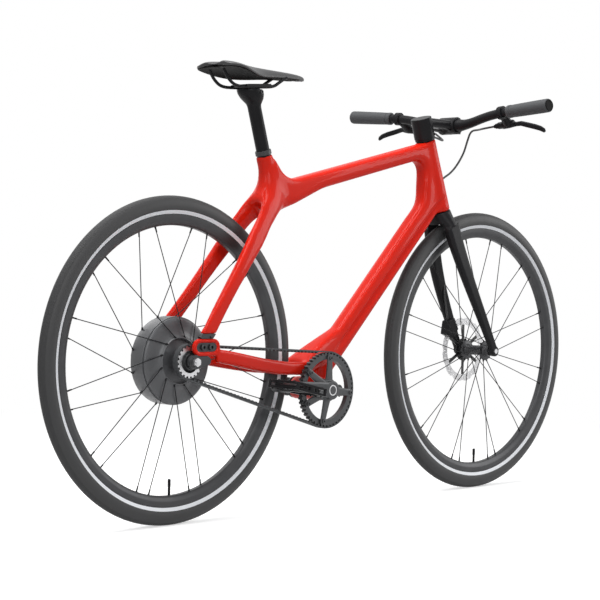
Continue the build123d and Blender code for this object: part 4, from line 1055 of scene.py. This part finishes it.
# Crankset: forged aluminium arms with a long recess on the outer face. The right one carries a
# five-armed spider, screwed to the toothed belt ring; a hollow steel spindle joins both arms.
CRANK_LENGTH = 172.5
CRANK_ANGLE = radians(5.0)
CRANK_INNER = 64.0
CRANK_THICK = 12.0
CRANK_DENT = 2.6
DENT_SHARE = 0.62
DENT_EDGE = 2.5
SPIDER_INNER = 58.0
SPIDER_REACH = 75.2
RING_SCREW = 4.6
RING_SCREW_SEAT = (71.2, 62.8)
FORGED_GREY = (0.048, 0.050, 0.053, 1.0)
FORGED_PALE = (0.066, 0.068, 0.072, 1.0)
# Spider arms, in degrees from straight ahead: three spread wide, one above and one below the arm
SPIDER_TURNS = (87.0, -7.0, -103.0, 146.0, 203.0)
# Spider arm, outwards: reach, half width, inner face, outer face
spider_rows = [
    (16, 11.0, 58.2, 65.0),
    (34, 9.0, 58.2, 64.4),
    (58, 7.8, 58.2, 63.6),
    (SPIDER_REACH - 3, 7.6, 58.2, 63.2),
    (SPIDER_REACH + 3.5, 5.0, 58.4, 62.6),
]
spider_hub_rows = [
    (SPIDER_INNER, 12.2), (SPIDER_INNER, 26.0), (62.0, 26.0), (64.2, 23.0), (66.0, 20.0),
    (66.0, 12.2),
]
boss_rows = [
    (CRANK_INNER, 12.2), (CRANK_INNER, 20.0), (65.0, 21.0), (74.4, 21.0), (75.6, 20.2),
    (76.0, 19.0), (76.0, 14.4), (75.2, 14.0), (75.2, 12.2),
]
eye_rows = [
    (64.2, 5.0), (64.2, 12.0), (65.0, 13.0), (75.0, 13.0), (75.8, 12.0), (75.8, 8.0), (76.6, 7.0),
    (76.6, 4.6),
]
pedal_axle_rows = [
    (60.0, 0.0), (60.0, 4.5), (76.0, 4.5), (76.4, 7.2), (80.0, 7.2), (80.4, 4.4), (174.0, 4.4),
    (174.0, 0.0),
]
# Arm, along its length: share of the way, half width, share of the thickness, share of the recess
arm_rows = [
    (-0.06, 15.0, 0.92, 0.0),
    (0.04, 17.4, 1.0, 0.0),
    (0.13, 17.2, 1.0, 0.0),
    (0.18, 16.8, 1.0, 1.0),
    (0.32, 15.8, 0.98, 1.0),
    (0.60, 13.8, 0.94, 1.0),
    (0.78, 12.6, 0.92, 1.0),
    (0.83, 12.4, 0.92, 0.0),
    (0.92, 12.4, 0.92, 0.0),
    (1.02, 11.0, 0.90, 0.0),
]


def crank_eye(hand):
    """The way along a crank arm, and the middle of its pedal eye."""
    along = Vector((hand * cos(CRANK_ANGLE), 0, -hand * sin(CRANK_ANGLE)))
    return along, crank_axis + along * CRANK_LENGTH * MM


def arm_ring(centre, along, hand, half, thick, dent):
    """A rounded bar's section with a dent in the middle of its outer face."""
    outward = Vector((0, hand, 0))
    across = along.cross(outward)
    points = []
    for point in oval(Vector(), forward, Vector((0, 0, 1)), half, thick, 40, power=4.0):
        offset, out = point.x / MM, point.z / MM
        edge = (DENT_SHARE * half - abs(offset)) / DENT_EDGE
        hollow = min(1.0, max(0.0, edge)) if out > 0 else 0.0
        lift = out - CRANK_DENT * dent * hollow
        points.append(centre + (across * offset + outward * lift) * MM)
    return points


def spider(outward):
    """The hub, arms and ring screws of the spider."""
    pieces = [lathe("spider_hub", crank_axis, outward, spider_hub_rows, 64, True)]
    for turn in map(radians, SPIDER_TURNS):
        reach_way = Vector((cos(turn), 0, sin(turn)))
        across = reach_way.cross(outward)
        rings = []
        for reach, half, low, high in spider_rows:
            centre = crank_axis + (reach_way * reach + outward * (low + high) / 2) * MM
            rings.append(oval(centre, across, outward, half, (high - low) / 2, 24, power=4.0))
        pieces.append(loft("spider_arm", rings, angle=40.0))
        reach, face = RING_SCREW_SEAT
        seat = crank_axis + (reach_way * reach + outward * face) * MM
        pieces.append(socket_screw("ring_screw", seat, outward, RING_SCREW))
    return pieces


forged = coated("forged_alloy", (FORGED_GREY, FORGED_PALE), (45.0, 3.0), (0.34, 0.12),
                (900.0, 0.00002), more={"Metallic": 0.3})
for side, hand in SIDES:
    along, eye = crank_eye(hand)
    outward = Vector((0, hand, 0))
    half_thick = CRANK_THICK / 2
    core = outward * (CRANK_INNER + half_thick) * MM
    arm = [arm_ring(crank_axis.lerp(eye, share) + core, along, hand, half, half_thick * thick, dent)
           for share, half, thick, dent in arm_rows]
    pieces = [
        loft("arm", arm, angle=40.0),
        lathe("boss", crank_axis, outward, boss_rows, 64, True),
        lathe("eye", eye, outward, eye_rows, 48, True),
        lathe("pedal_axle", eye, outward, pedal_axle_rows, 24),
    ]
    if hand == RIGHT:
        pieces += spider(outward)
    crank_mesh = joined(f"crank_{side}_mesh", pieces)
    put(f"crank_{side}_arm", crank_mesh, forged, "crankset", "dark_alloy", f"crank_{side}")
dress(steel, "crank_spindle")
dress(forged, "belt_ring")


# Belt: black rubber over carbon cords, moulded as one endless toothed loop. It runs on the right
# side, through the split in the seat stay, over the ring and the rear sprocket.
dress(rubber, "belt")


# Pedals: black moulded cages round an axle barrel, with steel grip pins along their edges. Each
# turns on the axle that is screwed into its crank's eye.
PEDAL_MIDDLE = 132.0
PEDAL_TILT = radians(12.0)
PEDAL_HALF_LENGTH = 47.5
PEDAL_HALF_WIDTH = 45.5
PEDAL_HALF_THICK = 9.0
RAIL_WALL = 6.5
RAIL_THICK = 5.4
PIN_AHEAD = 44.0
PIN_SINK = 0.6
POST_ASIDE = 41.5
RIB_AHEAD = 24.0
RIB_ASIDE = 42.0
# Section of a cage rail: inset from its outer edge, height as a share of half its thickness
rail_section = [
    (0.8, 1), (0, 0.7), (0, -0.7), (0.8, -1), (RAIL_WALL - 0.6, -1), (RAIL_WALL, -0.6),
    (RAIL_WALL, 0.6), (RAIL_WALL - 0.6, 1),
]
post_column = [(0, 3.4), (2 * PEDAL_HALF_THICK - 2, 3.4)]
barrel_rows = [
    (-44.5, 6.0), (-44.5, 8.0), (-43.0, 8.8), (40.0, 8.8), (44.6, 7.6), (45.2, 6.0), (45.2, 0.0),
]
pin_rows = [(0, 2.0), (2.0, 2.0), (2.6, 1.4)]
level = Vector((cos(PEDAL_TILT), 0, -sin(PEDAL_TILT)))
upward = Vector((sin(PEDAL_TILT), 0, cos(PEDAL_TILT)))


def cage_rail(centre):
    """A flat rounded frame."""
    normal = level.cross(aside)
    rings = []
    for inset, lift in rail_section:
        middle = centre + normal * lift * RAIL_THICK / 2 * MM
        wide, deep = PEDAL_HALF_LENGTH - inset, PEDAL_HALF_WIDTH - inset
        rings.append(oval(middle, level, aside, wide, deep, 64, power=6.0))
    return loft("rail", rings, round_trip=True, angle=40.0)


for side, hand in SIDES:
    outward = Vector((0, hand, 0))
    middle = crank_eye(hand)[1] + outward * PEDAL_MIDDLE * MM

    def spot(ahead, out, rise):
        return middle + (level * ahead + aside * out + upward * rise) * MM

    rail_lift = PEDAL_HALF_THICK - RAIL_THICK / 2
    cage = [cage_rail(spot(0, 0, face * rail_lift)) for face in (1, -1)]
    for ahead in (-42.5, -15.0, 15.0, 42.5):
        for out in (-POST_ASIDE, POST_ASIDE):
            foot = spot(ahead, out, 1 - PEDAL_HALF_THICK)
            cage.append(lathe("post", foot, upward, post_column, 16))
    for ahead in (-RIB_AHEAD, RIB_AHEAD):
        ribs = [oval(spot(ahead, out, 0), level, upward, 2.6, 3.2, 12)
                for out in (-RIB_ASIDE, RIB_ASIDE)]
        cage.append(loft("rib", ribs))
    cage.append(lathe("barrel", middle, outward, barrel_rows, 40))
    for face in (1, -1):
        for ahead in (-PIN_AHEAD, PIN_AHEAD):
            for out in (-30.0, -15.0, 0.0, 15.0, 30.0):
                foot = spot(ahead, out, face * (PEDAL_HALF_THICK - PIN_SINK))
                cage.append(lathe("pin", foot, upward * face, pin_rows, 12))
    cage_mesh = joined(f"pedal_{side}_mesh", cage)
    put(f"pedal_{side}_cage", cage_mesh, satin, f"pedal_{side}", "black_plastic", f"pedal_{side}")


# Studio: a pale paper floor that keeps the shadow under the wheels and runs out to white. Floor and
# world are white to the camera, to metal and to glass, and only softly light the bicycle.
FLOOR_HALF = 9.0
PAPER_WHITE = (0.86, 0.86, 0.86, 1.0)
PAPER_SHADE = (0.34, 0.34, 0.34, 1.0)
CLEAR_WHITE = (1.0, 1.0, 1.0, 1.0)
NO_LIGHT = (0.0, 0.0, 0.0, 1.0)
FLOOR_GLOW = 0.45
FADE_START = 0.9
FADE_LENGTH = 1.6
SOFT_SKY = (0.95, 0.97, 1.0, 1.0)
SOFT_SKY_LIGHT = 0.1


def background_rays(field):
    """One for rays that show the background: to the camera, off metal and through glass."""
    seen = field.node("LightPath", out="Is Camera Ray")
    for kind in ("Is Glossy Ray", "Is Transmission Ray"):
        seen = field.math("MAXIMUM", seen, field.node("LightPath", out=kind))
    return seen


def floor_shade(material):
    field = fresh(material)
    seen = background_rays(field)
    away = field.node("VectorMath", {"operation": "LENGTH"}, {0: here(field)}, out="Value")
    span = {"Value": away, "From Min": FADE_START, "From Max": FADE_START + FADE_LENGTH}
    fade = field.node("MapRange", {"interpolation_type": "SMOOTHSTEP"}, span)
    lit = field.node("BsdfPrincipled", links={
        "Base Color": between(field, seen, PAPER_SHADE, PAPER_WHITE),
        "Emission Color": between(field, seen, NO_LIGHT, CLEAR_WHITE),
        "Emission Strength": FLOOR_GLOW,
        "Roughness": 0.9,
        "Specular IOR Level": 0.0,
    })
    clear = field.node("Emission", links={"Color": CLEAR_WHITE, "Strength": 1.0})
    shown = field.node("MixShader", links={0: fade * seen, 1: lit, 2: clear})
    field.node("OutputMaterial", links={"Surface": shown})


paper = bpy.data.materials.new("pale_floor")
floor_shade(paper)
floor_mesh = bpy.data.meshes.new("floor")
corners = [(x * FLOOR_HALF, y * FLOOR_HALF, 0.0) for x, y in ((-1, -1), (1, -1), (1, 1), (-1, 1))]
floor_mesh.from_pydata(corners, [], [(0, 1, 2, 3)])
floor_mesh.materials.append(paper)
floor = placed("floor", floor_mesh)
middle = (Vector(cad_box[0]) + Vector(cad_box[1])) / 2
floor.location = (middle.x, middle.y, ground)
world = bpy.data.worlds.new("studio")
bpy.context.scene.world = world
sky = fresh(world)
white = sky.node("Background", links={"Color": CLEAR_WHITE, "Strength": 1.0})
soft = sky.node("Background", links={"Color": SOFT_SKY, "Strength": SOFT_SKY_LIGHT})
shown = sky.node("MixShader", links={0: background_rays(sky), 1: soft, 2: white})
sky.node("OutputWorld", links={"Surface": shown})


# Lamps: five large soft panels round the bicycle, the strongest overhead, so that every tube has
# a broad highlight and no hard shadow.
# Where each stands from the bicycle's middle, the width of its panel, its power
lamp_table = [
    ("overhead", (-0.6, 0.2, 2.6), 2.2, 86.0),
    ("drive_side", (-1.6, -3.2, 1.5), 2.0, 42.0),
    ("behind", (-3.3, -0.8, 1.3), 1.6, 20.0),
    ("front", (2.9, -1.7, 1.2), 1.8, 42.0),
    ("far_side", (0.2, 3.2, 1.4), 2.0, 24.0),
]
for lamp_name, stand, width, power in lamp_table:
    panel = bpy.data.lights.new(lamp_name, "AREA")
    panel.shape = "SQUARE"
    panel.size = width
    panel.energy = power
    lamp = placed(lamp_name, panel)
    lamp.location = middle + Vector(stand)
    lamp.rotation_mode = "QUATERNION"
    lamp.rotation_quaternion = (-Vector(stand)).to_track_quat("-Z", "Y")


# Camera: it stands behind the right side, a little above half the height of the bicycle, and
# looks along it with a long lens.
CAMERA_PLACE = at(-2387.3, -2678.1, 543.2)
CAMERA_YAW = radians(45.951)
CAMERA_PITCH = radians(-1.11)
CAMERA_ROLL = radians(1.113)
SENSOR = 36.0
FOCAL_PIXELS = 1722.3
PICTURE_PIXELS = 600
look = Vector((sin(CAMERA_YAW) * cos(CAMERA_PITCH), cos(CAMERA_YAW) * cos(CAMERA_PITCH),
               sin(CAMERA_PITCH)))
level = Vector((cos(CAMERA_YAW), -sin(CAMERA_YAW), 0))
upright = level.cross(look)
right = level * cos(CAMERA_ROLL) + upright * sin(CAMERA_ROLL)
up = upright * cos(CAMERA_ROLL) - level * sin(CAMERA_ROLL)
lens = bpy.data.cameras.new("camera")
lens.sensor_width = SENSOR
lens.lens = FOCAL_PIXELS * SENSOR / PICTURE_PIXELS
lens.clip_end = 100.0
camera = placed("camera", lens)
turn = Matrix((right, up, -look)).transposed()
camera.matrix_world = Matrix.Translation(CAMERA_PLACE) @ turn.to_4x4()
bpy.context.scene.camera = camera
bpy.context.scene.view_settings.view_transform = "Standard"
